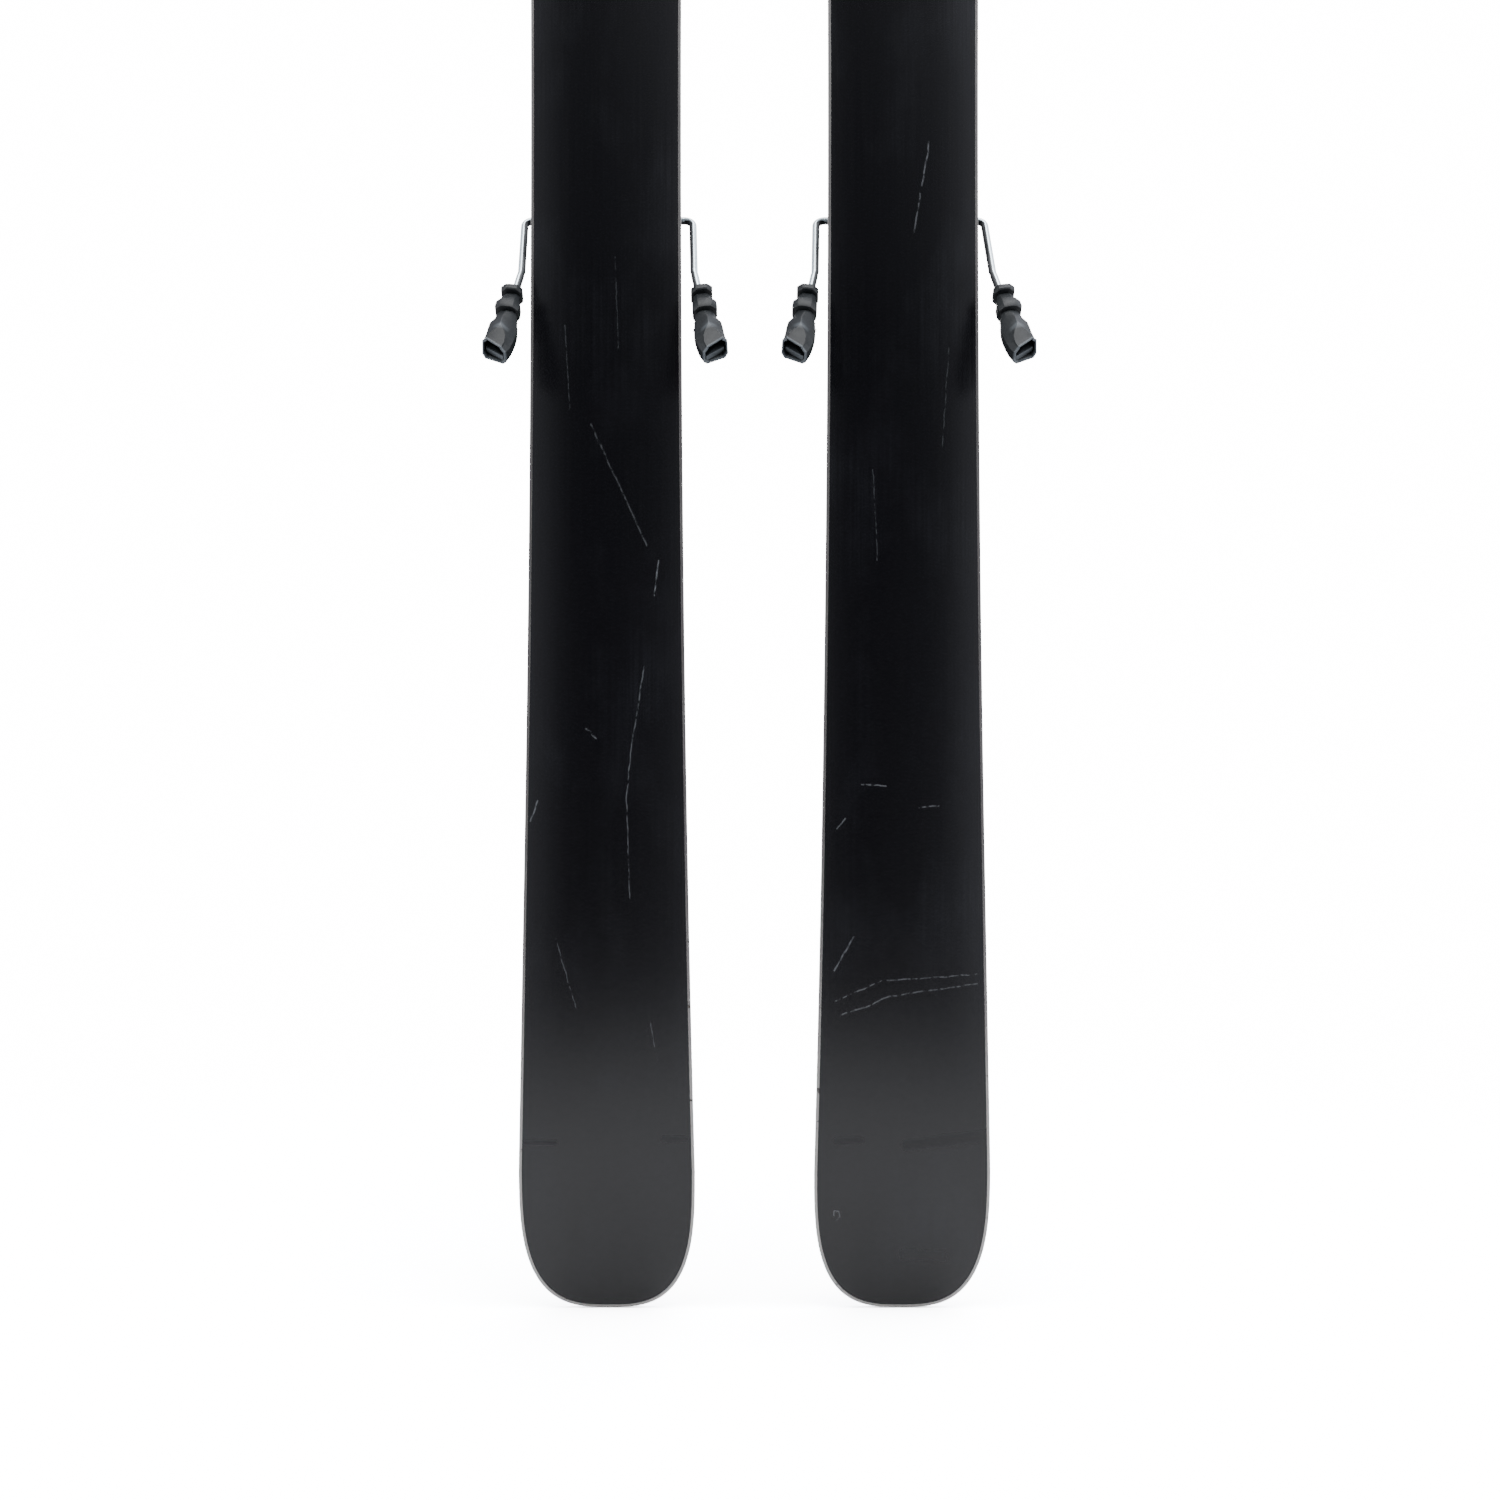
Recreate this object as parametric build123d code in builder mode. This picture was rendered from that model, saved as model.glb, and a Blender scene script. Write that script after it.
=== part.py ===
"""A pair of alpine skis with step-in bindings and ski brakes.

Frame, in millimetres: the skis stand side by side on their tails, tips up along +Z.
X runs across the pair. The running bases lie in the plane Y = 0 and face -Y, and the
bindings stand on the top sheets on the +Y side. The brakes are down, as on an empty
binding, so their feet reach past the bases on the -Y side.

Both skis are alike, so every piece is made once for a ski whose centre line is X = 0
and written once for each ski.
"""

import math
import os
from build123d import *

# ---- driving sizes of the ski -------------------------------------------------
LENGTH = 1780
TAIL_WIDTH = 117
WAIST_WIDTH = 99
TIP_WIDTH = 128
TAIL_WIDE_AT = 95  # height of the widest place of the tail
WAIST_AT = 800
TIP_WIDE_AT = 1600
TAIL_ROUNDNESS = 3.0  # power of the superellipse that closes the tail
TIP_ROUNDNESS = 2.3
SKI_SPACING = 196  # between the two centre lines

FLAT_FROM, FLAT_TO = 300, 1400  # the base is flat between these heights
TAIL_KICK_AT, TAIL_KICK_RADIUS, TAIL_ROCKER_RADIUS = 110, 450, 3000
TIP_KICK_AT, TIP_KICK_RADIUS, TIP_ROCKER_RADIUS = 1600, 360, 2500

WAIST_THICKNESS = 12
TAIL_THICKNESS = 6
TIP_THICKNESS = 5
DECK_FROM, DECK_TO = 560, 1120  # full thickness, where the bindings stand
DECK = WAIST_THICKNESS  # height of the top sheet there

BASE_THICKNESS = 1.4
EDGE_HEIGHT = 2.2
EDGE_WIDTH = 2.0
SIDEWALL_WIDTH = 7
TOP_LAYERS = 1.4  # upper laminate and top sheet together
TOPSHEET_THICKNESS = 0.6
TOPSHEET_INSET = 1.2
ROOM = 90  # larger than any half width or rise, for through cuts

# ---- driving sizes of the binding ---------------------------------------------
BOOT_CENTRE = 850
SOLE_LENGTH = 305
SOLE_HEIGHT = 36  # underside of the boot sole above the base
TOE_LUG = 19  # thickness of the boot's toe lug
HEEL_LUG = 31  # thickness of the boot's heel lug
BOOT_TOE = BOOT_CENTRE + SOLE_LENGTH / 2
BOOT_HEEL = BOOT_CENTRE - SOLE_LENGTH / 2
FIT = 0.05  # radial clearance of a pin that turns in its bore
GAP = 0.4  # clearance between pieces that slide or swing past each other

SCREW_RADIUS = 2.75
SCREW_HEAD_RADIUS = 5
SCREW_HEAD_HEIGHT = 2.6
SCREW_TIP = 3.4  # height of the screw tips above the base, inside the core

TOE_PLATE_TOP = DECK + 5
TOE_SCREWS = [(x, z) for z in (BOOT_TOE - 9.5, BOOT_TOE + 92.5) for x in (-19, 19)]
TRACK_TOP = DECK + 3
HEEL_SCREWS = [(x, z) for z in (584, 740) for x in (-22, 22)]

WING_PIN = (22, BOOT_TOE + 21.5)
WING_PIN_RADIUS = 3
WING_FLOOR = SOLE_HEIGHT + 1
WING_TOP = SOLE_HEIGHT + TOE_LUG + 6
TOE_AXIS = 47  # height of the toe spring's axis
CUP_AXLE = (45, 642)  # (y, z) of the heel cup's axle
CUP_AXLE_RADIUS = 4
LEVER_PIN = (84, 626)
LEVER_PIN_RADIUS = 2.5
HEEL_AXIS = 67  # height of the heel spring's axis
RAIL_TOP = TRACK_TOP + 6
CARRIAGE_TOP = 30

TRACK_FROM, TRACK_TO = 566, 752
RAIL_HALF = 15
RAIL_TO = 704
STOP_THICKNESS = 6
FORWARD_AXIS = 26.2  # height of the forward-pressure screw
FORWARD_RADIUS = 2.5
FORWARD_HEAD_RADIUS = 5
FORWARD_REACH = 40  # of the screw's bore into the carriage
CARRIAGE_FROM, CARRIAGE_TO = 606, 752
CARRIAGE_HALF = 32
CARRIAGE_TRAVEL = 8
CHEEK_HALF = 27
SHELF_FROM = 716

BRAKE_AXIS = (28, 731.5)  # (y, z) of the brake's turning axis
BRAKE_SEAT = 20  # top of the carriage's front shelf, under the brake
BRACKET_THICKNESS = 2
EAR_FROM, EAR_TO = 23, 31  # the bracket's ears, from the ski's centre line
WIRE_RADIUS = 2.5
WIRE_BEND = 6
WIRE_INNER = 12  # of the wire's run inside the pedal
PEDAL_WIRE = 34
PEDAL_LENGTH = 46
PEDAL_HALF = 22.4
BRAKE_DROP = 38  # degrees that the lowered arms point below the base plane
PEDAL_RISE = 40  # degrees that the raised pedal stands above the base plane
ARM_OFFSET = 56.5  # of the wire's outer bend from the ski's centre line
KINK_BEFORE_FOOT = 20  # the arm turns a little outwards there
FOOT_FROM, FOOT_TO = 73.5, 139.5  # the foot's ends, along the arm from the brake's axis
ARM_REACH = (61.5, 72.5)  # of the foot's start and end from the ski's centre line
WORN_ARM_REACH = (57.5, 66.0)  # the left ski's outer arm, pressed inwards in use
WIRE_IN_FOOT = 40
FOOT_CORNER = 2.4
MOUTH_DEPTH = 6


# ---- helpers -------------------------------------------------------------------
def deck_plane(height):
    """A plane parallel to the base at that height. Its own x and y are the ski's X and Z."""
    return Plane.XZ.offset(-height)


def raise_by(amount, **how):
    """Extrudes away from the base."""
    extrude(amount=-amount, **how)


def rise(z):
    """Height of the base line above the running plane at height z up the ski."""
    if z < FLAT_FROM:
        rocker = min(FLAT_FROM - z, FLAT_FROM - TAIL_KICK_AT)
        kick = max(TAIL_KICK_AT - z, 0)
        slope, bend = rocker / TAIL_ROCKER_RADIUS, TAIL_KICK_RADIUS
        first = rocker**2 / (2 * TAIL_ROCKER_RADIUS)
    elif z > FLAT_TO:
        rocker = min(z - FLAT_TO, TIP_KICK_AT - FLAT_TO)
        kick = max(z - TIP_KICK_AT, 0)
        slope, bend = rocker / TIP_ROCKER_RADIUS, TIP_KICK_RADIUS
        first = rocker**2 / (2 * TIP_ROCKER_RADIUS)
    else:
        return 0.0
    return first + slope * kick + kick**2 / (2 * bend)


def thickness(z):
    """Thickness of the ski at height z up the ski."""
    if z < DECK_FROM:
        share = ((DECK_FROM - z) / DECK_FROM) ** 1.5
        return WAIST_THICKNESS - (WAIST_THICKNESS - TAIL_THICKNESS) * share
    if z > DECK_TO:
        share = ((z - DECK_TO) / (LENGTH - DECK_TO)) ** 1.3
        return WAIST_THICKNESS - (WAIST_THICKNESS - TIP_THICKNESS) * share
    return WAIST_THICKNESS


def above_base(lift):
    """A side-view curve at a fixed lift above the base line, as (height function, flat from, flat to)."""
    return (lambda z: rise(z) + lift), FLAT_FROM, FLAT_TO


def below_top(depth):
    """A side-view curve at a fixed depth below the top surface."""
    return (lambda z: rise(z) + thickness(z) - depth), DECK_FROM, DECK_TO


def side_curve(level):
    """Draws one side-view curve from past the tail to past the tip, straight over its flat."""
    height, flat_from, flat_to = level
    low, high, steps = -2, LENGTH + 2, 12
    tail = [low + (flat_from - low) * k / steps for k in range(steps + 1)]
    tip = [flat_to + (high - flat_to) * k / steps for k in range(steps + 1)]
    Spline([(height(z), z) for z in tail])
    Line((height(flat_from), flat_from), (height(flat_to), flat_to))
    Spline([(height(z), z) for z in tip])
    return (height(low), low), (height(high), high)


def outline(inset):
    """Draws the ski's plan outline, moved in by that inset, and fills it."""
    half = {"tail": TAIL_WIDTH / 2 - inset, "waist": WAIST_WIDTH / 2 - inset, "tip": TIP_WIDTH / 2 - inset}
    tail_corner = (half["tail"], TAIL_WIDE_AT)
    tip_corner = (half["tip"], TIP_WIDE_AT)
    waist = (half["waist"], WAIST_AT)

    def end_curve(width, reach, power, centre, steps=9):
        angles = [math.pi / 2 * k / steps for k in range(steps + 1)]
        shares = [(abs(math.cos(a)) ** (2 / power), math.sin(a) ** (2 / power)) for a in angles]
        shares[-1] = (0, 1)
        return [(width * across, centre + reach * along) for across, along in shares]

    def bow(start, end, sag):
        middle = ((start[0] + end[0]) / 2 - sag, (start[1] + end[1]) / 2)
        ThreePointArc(start, middle, end)

    with BuildLine() as half_outline:
        tail_reach = inset - TAIL_WIDE_AT
        tip_reach = LENGTH - inset - TIP_WIDE_AT
        tail_end = end_curve(half["tail"], tail_reach, TAIL_ROUNDNESS, TAIL_WIDE_AT)
        tip_end = end_curve(half["tip"], tip_reach, TIP_ROUNDNESS, TIP_WIDE_AT)
        Spline(tail_end, tangents=[(0, -1), (-1, 0)])
        bow(tail_corner, waist, (half["tail"] - half["waist"]) / 4)
        bow(waist, tip_corner, (half["tip"] - half["waist"]) / 4)
        Spline(tip_end, tangents=[(0, 1), (-1, 0)])
        mirror(about=Plane.YZ)
    make_face(half_outline.edges())


def layer(low, high, inset, inner=None, holes_from=None):
    """One layer of the ski between two side-view curves, cut to the outline.

    It is a ring if inner is given, and has the mounting screws' holes from a given height up.
    """
    with BuildPart() as made:
        with BuildSketch(Plane.YZ):
            with BuildLine():
                low_start, low_end = side_curve(low)
                high_start, high_end = side_curve(high)
                Line(low_start, high_start)
                Line(low_end, high_end)
            make_face()
        extrude(amount=ROOM, both=True)
        with BuildSketch(deck_plane(-ROOM)) as plan:
            outline(inset)
        raise_by(3 * ROOM, mode=Mode.INTERSECT)
        if inner is not None:
            with BuildSketch(deck_plane(-ROOM)):
                outline(inner)
            raise_by(3 * ROOM, mode=Mode.SUBTRACT)
        if holes_from is not None:
            screw_holes(TOE_SCREWS + HEEL_SCREWS, SCREW_RADIUS + FIT, holes_from)
    return made


def screw_holes(places, radius, bottom):
    """Cuts one upright hole at each (x, z) place, from a height up."""
    with BuildSketch(deck_plane(bottom)) as rings:
        with Locations(*places):
            Circle(radius)
    raise_by(ROOM, to_extrude=rings.sketch, mode=Mode.SUBTRACT)


pieces = {}


def keep(name, made):
    pieces[name] = made.part


# ---- the ski, from the base up ---------------------------------------------------
base_top = above_base(BASE_THICKNESS)
edge_top = above_base(EDGE_HEIGHT)
core_top = below_top(TOP_LAYERS)
sheet_bottom = below_top(TOPSHEET_THICKNESS)

keep("base_sheet", layer(above_base(0), base_top, EDGE_WIDTH))
keep("steel_edge", layer(above_base(0), edge_top, 0, inner=EDGE_WIDTH))
keep("sidewall", layer(edge_top, core_top, 0, inner=SIDEWALL_WIDTH))
keep("wood_core", layer(edge_top, core_top, SIDEWALL_WIDTH, holes_from=SCREW_TIP - 0.2))
lower_laminate = layer(base_top, edge_top, EDGE_WIDTH)
upper_laminate = layer(core_top, sheet_bottom, 0, holes_from=0)
pieces["laminates"] = Compound(children=[lower_laminate.part.solid(), upper_laminate.part.solid()])
keep("topsheet", layer(sheet_bottom, below_top(0), TOPSHEET_INSET, holes_from=0))


# ---- toe piece ---------------------------------------------------------------------
AFD_Z = BOOT_TOE - 34.5  # centre of the sliding plate under the boot toe
PEDESTAL_TOP = SOLE_HEIGHT - 4
AFD_TRAVEL = 8
TONGUE = (40, 14)  # of the sliding plate, across and along the ski
TONGUE_BOTTOM = PEDESTAL_TOP - 4

with BuildPart() as toe_baseplate:
    with BuildSketch(deck_plane(DECK)):
        with Locations((0, (AFD_Z - 18 + BOOT_TOE + 103) / 2)):
            RectangleRounded(66, BOOT_TOE + 103 - (AFD_Z - 18), 10)
    raise_by(TOE_PLATE_TOP - DECK)
    with BuildSketch(deck_plane(TOE_PLATE_TOP)):
        with Locations((0, AFD_Z)):
            RectangleRounded(65, 32, 4)
    raise_by(PEDESTAL_TOP - TOE_PLATE_TOP)
    with BuildSketch(deck_plane(TONGUE_BOTTOM - GAP)):
        with Locations((0, AFD_Z)):
            Rectangle(TONGUE[0] + 2 * (AFD_TRAVEL + GAP), TONGUE[1] + GAP)
    raise_by(ROOM, mode=Mode.SUBTRACT)
    screw_holes(TOE_SCREWS, SCREW_RADIUS + FIT, DECK)
    screw_holes(TOE_SCREWS, SCREW_HEAD_RADIUS + FIT, TOE_PLATE_TOP - SCREW_HEAD_HEIGHT)
keep("toe_baseplate", toe_baseplate)

with BuildPart() as afd_plate:
    with BuildSketch(deck_plane(PEDESTAL_TOP + GAP)):
        with Locations((0, AFD_Z)):
            RectangleRounded(60, 36, 5)
    raise_by(SOLE_HEIGHT - PEDESTAL_TOP - GAP)
    with BuildSketch(deck_plane(TONGUE_BOTTOM)):
        with Locations((0, AFD_Z)):
            Rectangle(*TONGUE)
    raise_by(PEDESTAL_TOP + GAP - TONGUE_BOTTOM)
keep("afd_plate", afd_plate)

HOUSING_BACK = BOOT_TOE + 3.5
HOUSING_FRONT = BOOT_TOE + 84
HOUSING_TOP = WING_TOP + 6
TUNNEL_RADIUS = 9.6
TUNNEL_BACK = WING_PIN[1] + 24
TOE_SCREW_RADIUS = 8
TOE_SCREW_LENGTH = 12

with BuildPart() as toe_housing:
    with BuildSketch(deck_plane(TOE_PLATE_TOP)):
        with BuildLine():
            Polyline(
                (0, HOUSING_BACK), (35, HOUSING_BACK), (33, BOOT_TOE + 48),
                (17, HOUSING_FRONT), (0, HOUSING_FRONT),
            )
            mirror(about=Plane.YZ)
        make_face()
    raise_by(HOUSING_TOP - TOE_PLATE_TOP)
    upright = toe_housing.edges().filter_by(Axis.Y)
    fillet(upright, 5)
    fillet(toe_housing.faces().sort_by(Axis.Y)[-1].edges(), 4)
    # one pocket each side for the wings' hubs, leaving a spine, a floor and a roof
    with BuildSketch(deck_plane(WING_FLOOR - GAP)):
        for side in (-1, 1):
            with Locations((side * 35, (HOUSING_BACK + WING_PIN[1] + 13) / 2)):
                Rectangle(49, WING_PIN[1] + 13 - HOUSING_BACK + 0.01)
    raise_by(WING_TOP - WING_FLOOR + 2 * GAP, mode=Mode.SUBTRACT)
    with BuildSketch(Plane.XY.offset(TUNNEL_BACK)):
        with Locations((0, TOE_AXIS)):
            Circle(TUNNEL_RADIUS)
    extrude(amount=HOUSING_FRONT - TOE_SCREW_LENGTH - TUNNEL_BACK, mode=Mode.SUBTRACT)
    with BuildSketch(Plane.XY.offset(TUNNEL_BACK)):
        with Locations((0, TOE_AXIS)):
            Circle(TOE_SCREW_RADIUS + FIT)
    extrude(amount=ROOM, mode=Mode.SUBTRACT)
    with BuildSketch(deck_plane(WING_FLOOR - 8)):
        for side in (-1, 1):
            with Locations((side * WING_PIN[0], WING_PIN[1])):
                Circle(WING_PIN_RADIUS + FIT)
    raise_by(WING_TOP - WING_FLOOR + 11, mode=Mode.SUBTRACT)
keep("toe_housing", toe_housing)

with BuildPart() as toe_pins:
    with BuildSketch(deck_plane(WING_FLOOR - 8)):
        for side in (-1, 1):
            with Locations((side * WING_PIN[0], WING_PIN[1])):
                Circle(WING_PIN_RADIUS)
    raise_by(WING_TOP - WING_FLOOR + 10.6)
keep("toe_pins", toe_pins)

LIP_FLOOR = SOLE_HEIGHT + TOE_LUG + 1


def right_toe_wing():
    """The wing on the +X side: a hub on its pin, an arm beside the boot's toe lug and a lip over it."""
    pin_x, pin_z = WING_PIN
    with BuildPart() as wing:
        with BuildSketch(deck_plane(WING_FLOOR)):
            with Locations(WING_PIN):
                Circle(9.5)
            with BuildLine():
                Polyline(
                    (pin_x, pin_z + 9), (pin_x + 13, pin_z - 4), (pin_x + 21, pin_z - 30),
                    (pin_x + 17, pin_z - 43), (pin_x + 9, pin_z - 42), (pin_x + 5, pin_z - 26),
                    (pin_x - 5, pin_z - 8), close=True,
                )
            make_face()
        raise_by(WING_TOP - WING_FLOOR)
        with BuildSketch(deck_plane(LIP_FLOOR)):
            with BuildLine():
                Polyline(
                    (pin_x, pin_z - 6), (pin_x - 8, pin_z - 16), (pin_x - 6, pin_z - 27),
                    (pin_x + 5, pin_z - 40), (pin_x + 14, pin_z - 40), (pin_x + 12, pin_z - 8), close=True,
                )
            make_face()
        raise_by(WING_TOP - LIP_FLOOR)
        with BuildSketch(deck_plane(WING_FLOOR)):
            with Locations(WING_PIN):
                Circle(WING_PIN_RADIUS + FIT)
        raise_by(ROOM, mode=Mode.SUBTRACT)
    return wing


wing_made = right_toe_wing()
keep("toe_wing_right", wing_made)
pieces["toe_wing_left"] = mirror(wing_made.part, about=Plane.YZ)


def coil(axis_start, direction, length, radius, wire, turns):
    """A helical spring between two ends, its wire's centre line inset by the wire's radius."""
    height = length - 2 * wire
    start = axis_start + direction * wire
    with BuildPart() as spring:
        with BuildLine():
            path = Helix(height / turns, height, radius, center=start, direction=direction)
        with BuildSketch(Plane(origin=path @ 0, z_dir=path % 0)):
            Circle(wire)
        sweep(path=path, is_frenet=True)
    return spring


SPRING_END = HOUSING_FRONT - TOE_SCREW_LENGTH - 0.6
toe_spring = coil(
    Vector(0, TOE_AXIS, TUNNEL_BACK + 0.6), Vector(0, 0, 1), SPRING_END - TUNNEL_BACK - 0.6, 6.4, 1.3, 4.5
)
keep("toe_spring", toe_spring)


def slotted_cap(centre, radius, start, length, outward):
    """A round adjusting screw along Z with a cross recess in its outer face."""
    with BuildPart() as cap:
        with BuildSketch(Plane.XY.offset(start)):
            with Locations(centre):
                Circle(radius)
        extrude(amount=length)
        face = start + length if outward > 0 else start
        chamfer(cap.edges().filter_by(GeomType.CIRCLE).filter_by_position(Axis.Z, face - 0.1, face + 0.1), 0.8)
        with BuildSketch(Plane.XY.offset(face)):
            with Locations(centre):
                Rectangle(1.25 * radius, 0.25 * radius)
                Rectangle(0.25 * radius, 1.25 * radius)
        extrude(amount=-outward * 0.35 * radius, mode=Mode.SUBTRACT)
    return cap


toe_setting_screw = slotted_cap(
    (0, TOE_AXIS), TOE_SCREW_RADIUS, HOUSING_FRONT - TOE_SCREW_LENGTH, TOE_SCREW_LENGTH + 3, 1
)
keep("toe_setting_screw", toe_setting_screw)


# ---- heel piece ----------------------------------------------------------------------
with BuildPart() as heel_track:
    with BuildSketch(deck_plane(DECK)):
        with Locations((0, (TRACK_FROM + TRACK_TO) / 2)):
            RectangleRounded(60, TRACK_TO - TRACK_FROM, 8)
    raise_by(TRACK_TOP - DECK)
    with BuildSketch(deck_plane(TRACK_TOP)):
        with Locations((0, (TRACK_FROM + 2 + RAIL_TO) / 2)):
            Rectangle(2 * RAIL_HALF, RAIL_TO - TRACK_FROM - 2)
    raise_by(RAIL_TOP - TRACK_TOP)
    with BuildSketch(deck_plane(RAIL_TOP)):
        with Locations((0, TRACK_FROM + 2 + STOP_THICKNESS / 2)):
            Rectangle(2 * RAIL_HALF, STOP_THICKNESS)
    raise_by(FORWARD_AXIS + 6 - RAIL_TOP)
    with BuildSketch(Plane.XY.offset(TRACK_FROM)):
        with Locations((0, FORWARD_AXIS)):
            Circle(FORWARD_RADIUS + FIT)
    extrude(amount=STOP_THICKNESS + 4, mode=Mode.SUBTRACT)
    screw_holes(HEEL_SCREWS, SCREW_RADIUS + FIT, DECK)
    screw_holes(HEEL_SCREWS, SCREW_HEAD_RADIUS + FIT, TRACK_TOP - SCREW_HEAD_HEIGHT)
keep("heel_track", heel_track)

with BuildPart() as heel_carriage:
    with BuildSketch(deck_plane(TRACK_TOP + GAP)):
        with Locations((0, (CARRIAGE_FROM + SHELF_FROM) / 2)):
            Rectangle(2 * CARRIAGE_HALF, SHELF_FROM - CARRIAGE_FROM)
    raise_by(CARRIAGE_TOP - TRACK_TOP - GAP)
    with BuildSketch(deck_plane(TRACK_TOP + GAP)):
        with Locations((0, (SHELF_FROM + CARRIAGE_TO) / 2)):
            Rectangle(2 * CARRIAGE_HALF, CARRIAGE_TO - SHELF_FROM)
    raise_by(BRAKE_SEAT - TRACK_TOP - GAP)
    # cheeks that hold the cup's axle
    with BuildSketch(Plane.YZ.offset(CHEEK_HALF)):
        with BuildLine():
            Polyline(
                (CARRIAGE_TOP, 620), (CARRIAGE_TOP, 676), (45, 660), (54, 650), (54, 634), (45, 624),
                close=True,
            )
        make_face()
    extrude(amount=CARRIAGE_HALF - CHEEK_HALF)
    mirror(about=Plane.YZ)
    # groove for the rail, and the bores
    with BuildSketch(Plane.XY.offset(CARRIAGE_FROM)):
        with Locations((0, (TRACK_TOP + RAIL_TOP + GAP) / 2)):
            Rectangle(2 * (RAIL_HALF + GAP), RAIL_TOP + GAP - TRACK_TOP)
    extrude(amount=RAIL_TO + CARRIAGE_TRAVEL + 1 - CARRIAGE_FROM, mode=Mode.SUBTRACT)
    with BuildSketch(Plane.XY.offset(CARRIAGE_FROM)):
        with Locations((0, FORWARD_AXIS)):
            Circle(FORWARD_RADIUS + FIT)
    extrude(amount=FORWARD_REACH, mode=Mode.SUBTRACT)
    with BuildSketch(Plane.YZ.offset(-CARRIAGE_HALF)):
        with Locations(CUP_AXLE):
            Circle(CUP_AXLE_RADIUS + FIT)
    extrude(amount=2 * CARRIAGE_HALF, mode=Mode.SUBTRACT)
keep("heel_carriage", heel_carriage)

with BuildPart() as forward_screw:
    with BuildSketch(Plane.XY.offset(TRACK_FROM - 7)):
        with Locations((0, FORWARD_AXIS)):
            Circle(FORWARD_HEAD_RADIUS)
    extrude(amount=6.6)
    with BuildSketch(Plane.XY.offset(TRACK_FROM - 7)):
        with Locations((0, FORWARD_AXIS)):
            Rectangle(7, 1.4)
    extrude(amount=2.2, mode=Mode.SUBTRACT)
    with BuildSketch(Plane.XY.offset(TRACK_FROM - 1)):
        with Locations((0, FORWARD_AXIS)):
            Circle(FORWARD_RADIUS)
    extrude(amount=CARRIAGE_FROM + FORWARD_REACH - CARRIAGE_TRAVEL - 2 - TRACK_FROM)
keep("forward_screw", forward_screw)

spring_from = TRACK_FROM + 2 + STOP_THICKNESS + 0.3
forward_spring = coil(
    Vector(0, FORWARD_AXIS, spring_from), Vector(0, 0, 1), CARRIAGE_FROM - 0.3 - spring_from, 3.65, 0.65, 7
)
keep("forward_spring", forward_spring)

CUP_HALF = CHEEK_HALF - GAP
CUP_FACE = BOOT_HEEL - 3  # where the boot's heel meets the cup
CUP_REAR = 598
CUP_TOP = 88
LIP_UNDER = SOLE_HEIGHT + HEEL_LUG + 1.5
HEEL_TUNNEL_RADIUS = 10.6
HEEL_SCREW_RADIUS = 9
HEEL_SCREW_LENGTH = 10

with BuildPart() as heel_cup:
    with BuildSketch(Plane.YZ.offset(-CUP_HALF)):
        with BuildLine():
            Polyline(
                (36.5, 640), (36.5, 652), (44, CUP_FACE - 6), (50, CUP_FACE), (LIP_UNDER, CUP_FACE),
                (LIP_UNDER, CUP_FACE + 12), (LIP_UNDER + 7, CUP_FACE + 13), (CUP_TOP - 3, CUP_FACE - 4),
                (CUP_TOP, CUP_FACE - 22), (CUP_TOP, 640), (CUP_TOP - 3, CUP_REAR + 6),
                (CUP_TOP - 8, CUP_REAR), (56, CUP_REAR), close=True,
            )
        make_face()
    extrude(amount=2 * CUP_HALF)
    # the wider heel lip and its side walls
    with BuildSketch(Plane.YZ.offset(-CUP_HALF - 6)):
        with BuildLine():
            Polyline(
                (50, CUP_FACE - 8), (50, CUP_FACE), (LIP_UNDER, CUP_FACE), (LIP_UNDER, CUP_FACE + 12),
                (LIP_UNDER + 7, CUP_FACE + 13), (CUP_TOP - 6, CUP_FACE - 4), (CUP_TOP - 8, CUP_FACE - 10),
                close=True,
            )
        make_face()
    extrude(amount=2 * CUP_HALF + 12)
    with BuildSketch(Plane.XY.offset(CUP_REAR)):
        with Locations((0, HEEL_AXIS)):
            Circle(HEEL_SCREW_RADIUS + FIT)
    extrude(amount=HEEL_SCREW_LENGTH + 0.5, mode=Mode.SUBTRACT)
    with BuildSketch(Plane.XY.offset(CUP_REAR + HEEL_SCREW_LENGTH + 0.4)):
        with Locations((0, HEEL_AXIS)):
            Circle(HEEL_TUNNEL_RADIUS)
    extrude(amount=CUP_FACE - 12 - CUP_REAR - HEEL_SCREW_LENGTH, mode=Mode.SUBTRACT)
    for place, radius in ((CUP_AXLE, CUP_AXLE_RADIUS), (LEVER_PIN, LEVER_PIN_RADIUS)):
        with BuildSketch(Plane.YZ.offset(-CARRIAGE_HALF)):
            with Locations(place):
                Circle(radius + FIT)
        extrude(amount=2 * CARRIAGE_HALF, mode=Mode.SUBTRACT)
keep("heel_cup", heel_cup)


def cross_pin(place, radius, half):
    """A pin along X through a (y, z) place, with a small bevel at both ends."""
    with BuildPart() as pin:
        with BuildSketch(Plane.YZ.offset(-half)):
            with Locations(place):
                Circle(radius)
        extrude(amount=2 * half)
        chamfer(pin.edges().filter_by(GeomType.CIRCLE), 0.5)
    return pin


keep("cup_axle", cross_pin(CUP_AXLE, CUP_AXLE_RADIUS, CARRIAGE_HALF + 1))
keep("lever_pin", cross_pin(LEVER_PIN, LEVER_PIN_RADIUS, CARRIAGE_HALF + 1))

tunnel_from = CUP_REAR + HEEL_SCREW_LENGTH + 0.8
heel_spring = coil(
    Vector(0, HEEL_AXIS, tunnel_from), Vector(0, 0, 1), CUP_FACE - 16 - tunnel_from, 8.2, 1.7, 8
)
keep("heel_spring", heel_spring)
heel_setting_screw = slotted_cap(
    (0, HEEL_AXIS), HEEL_SCREW_RADIUS, CUP_REAR - 2, HEEL_SCREW_LENGTH + 2, -1
)
keep("heel_setting_screw", heel_setting_screw)

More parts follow.
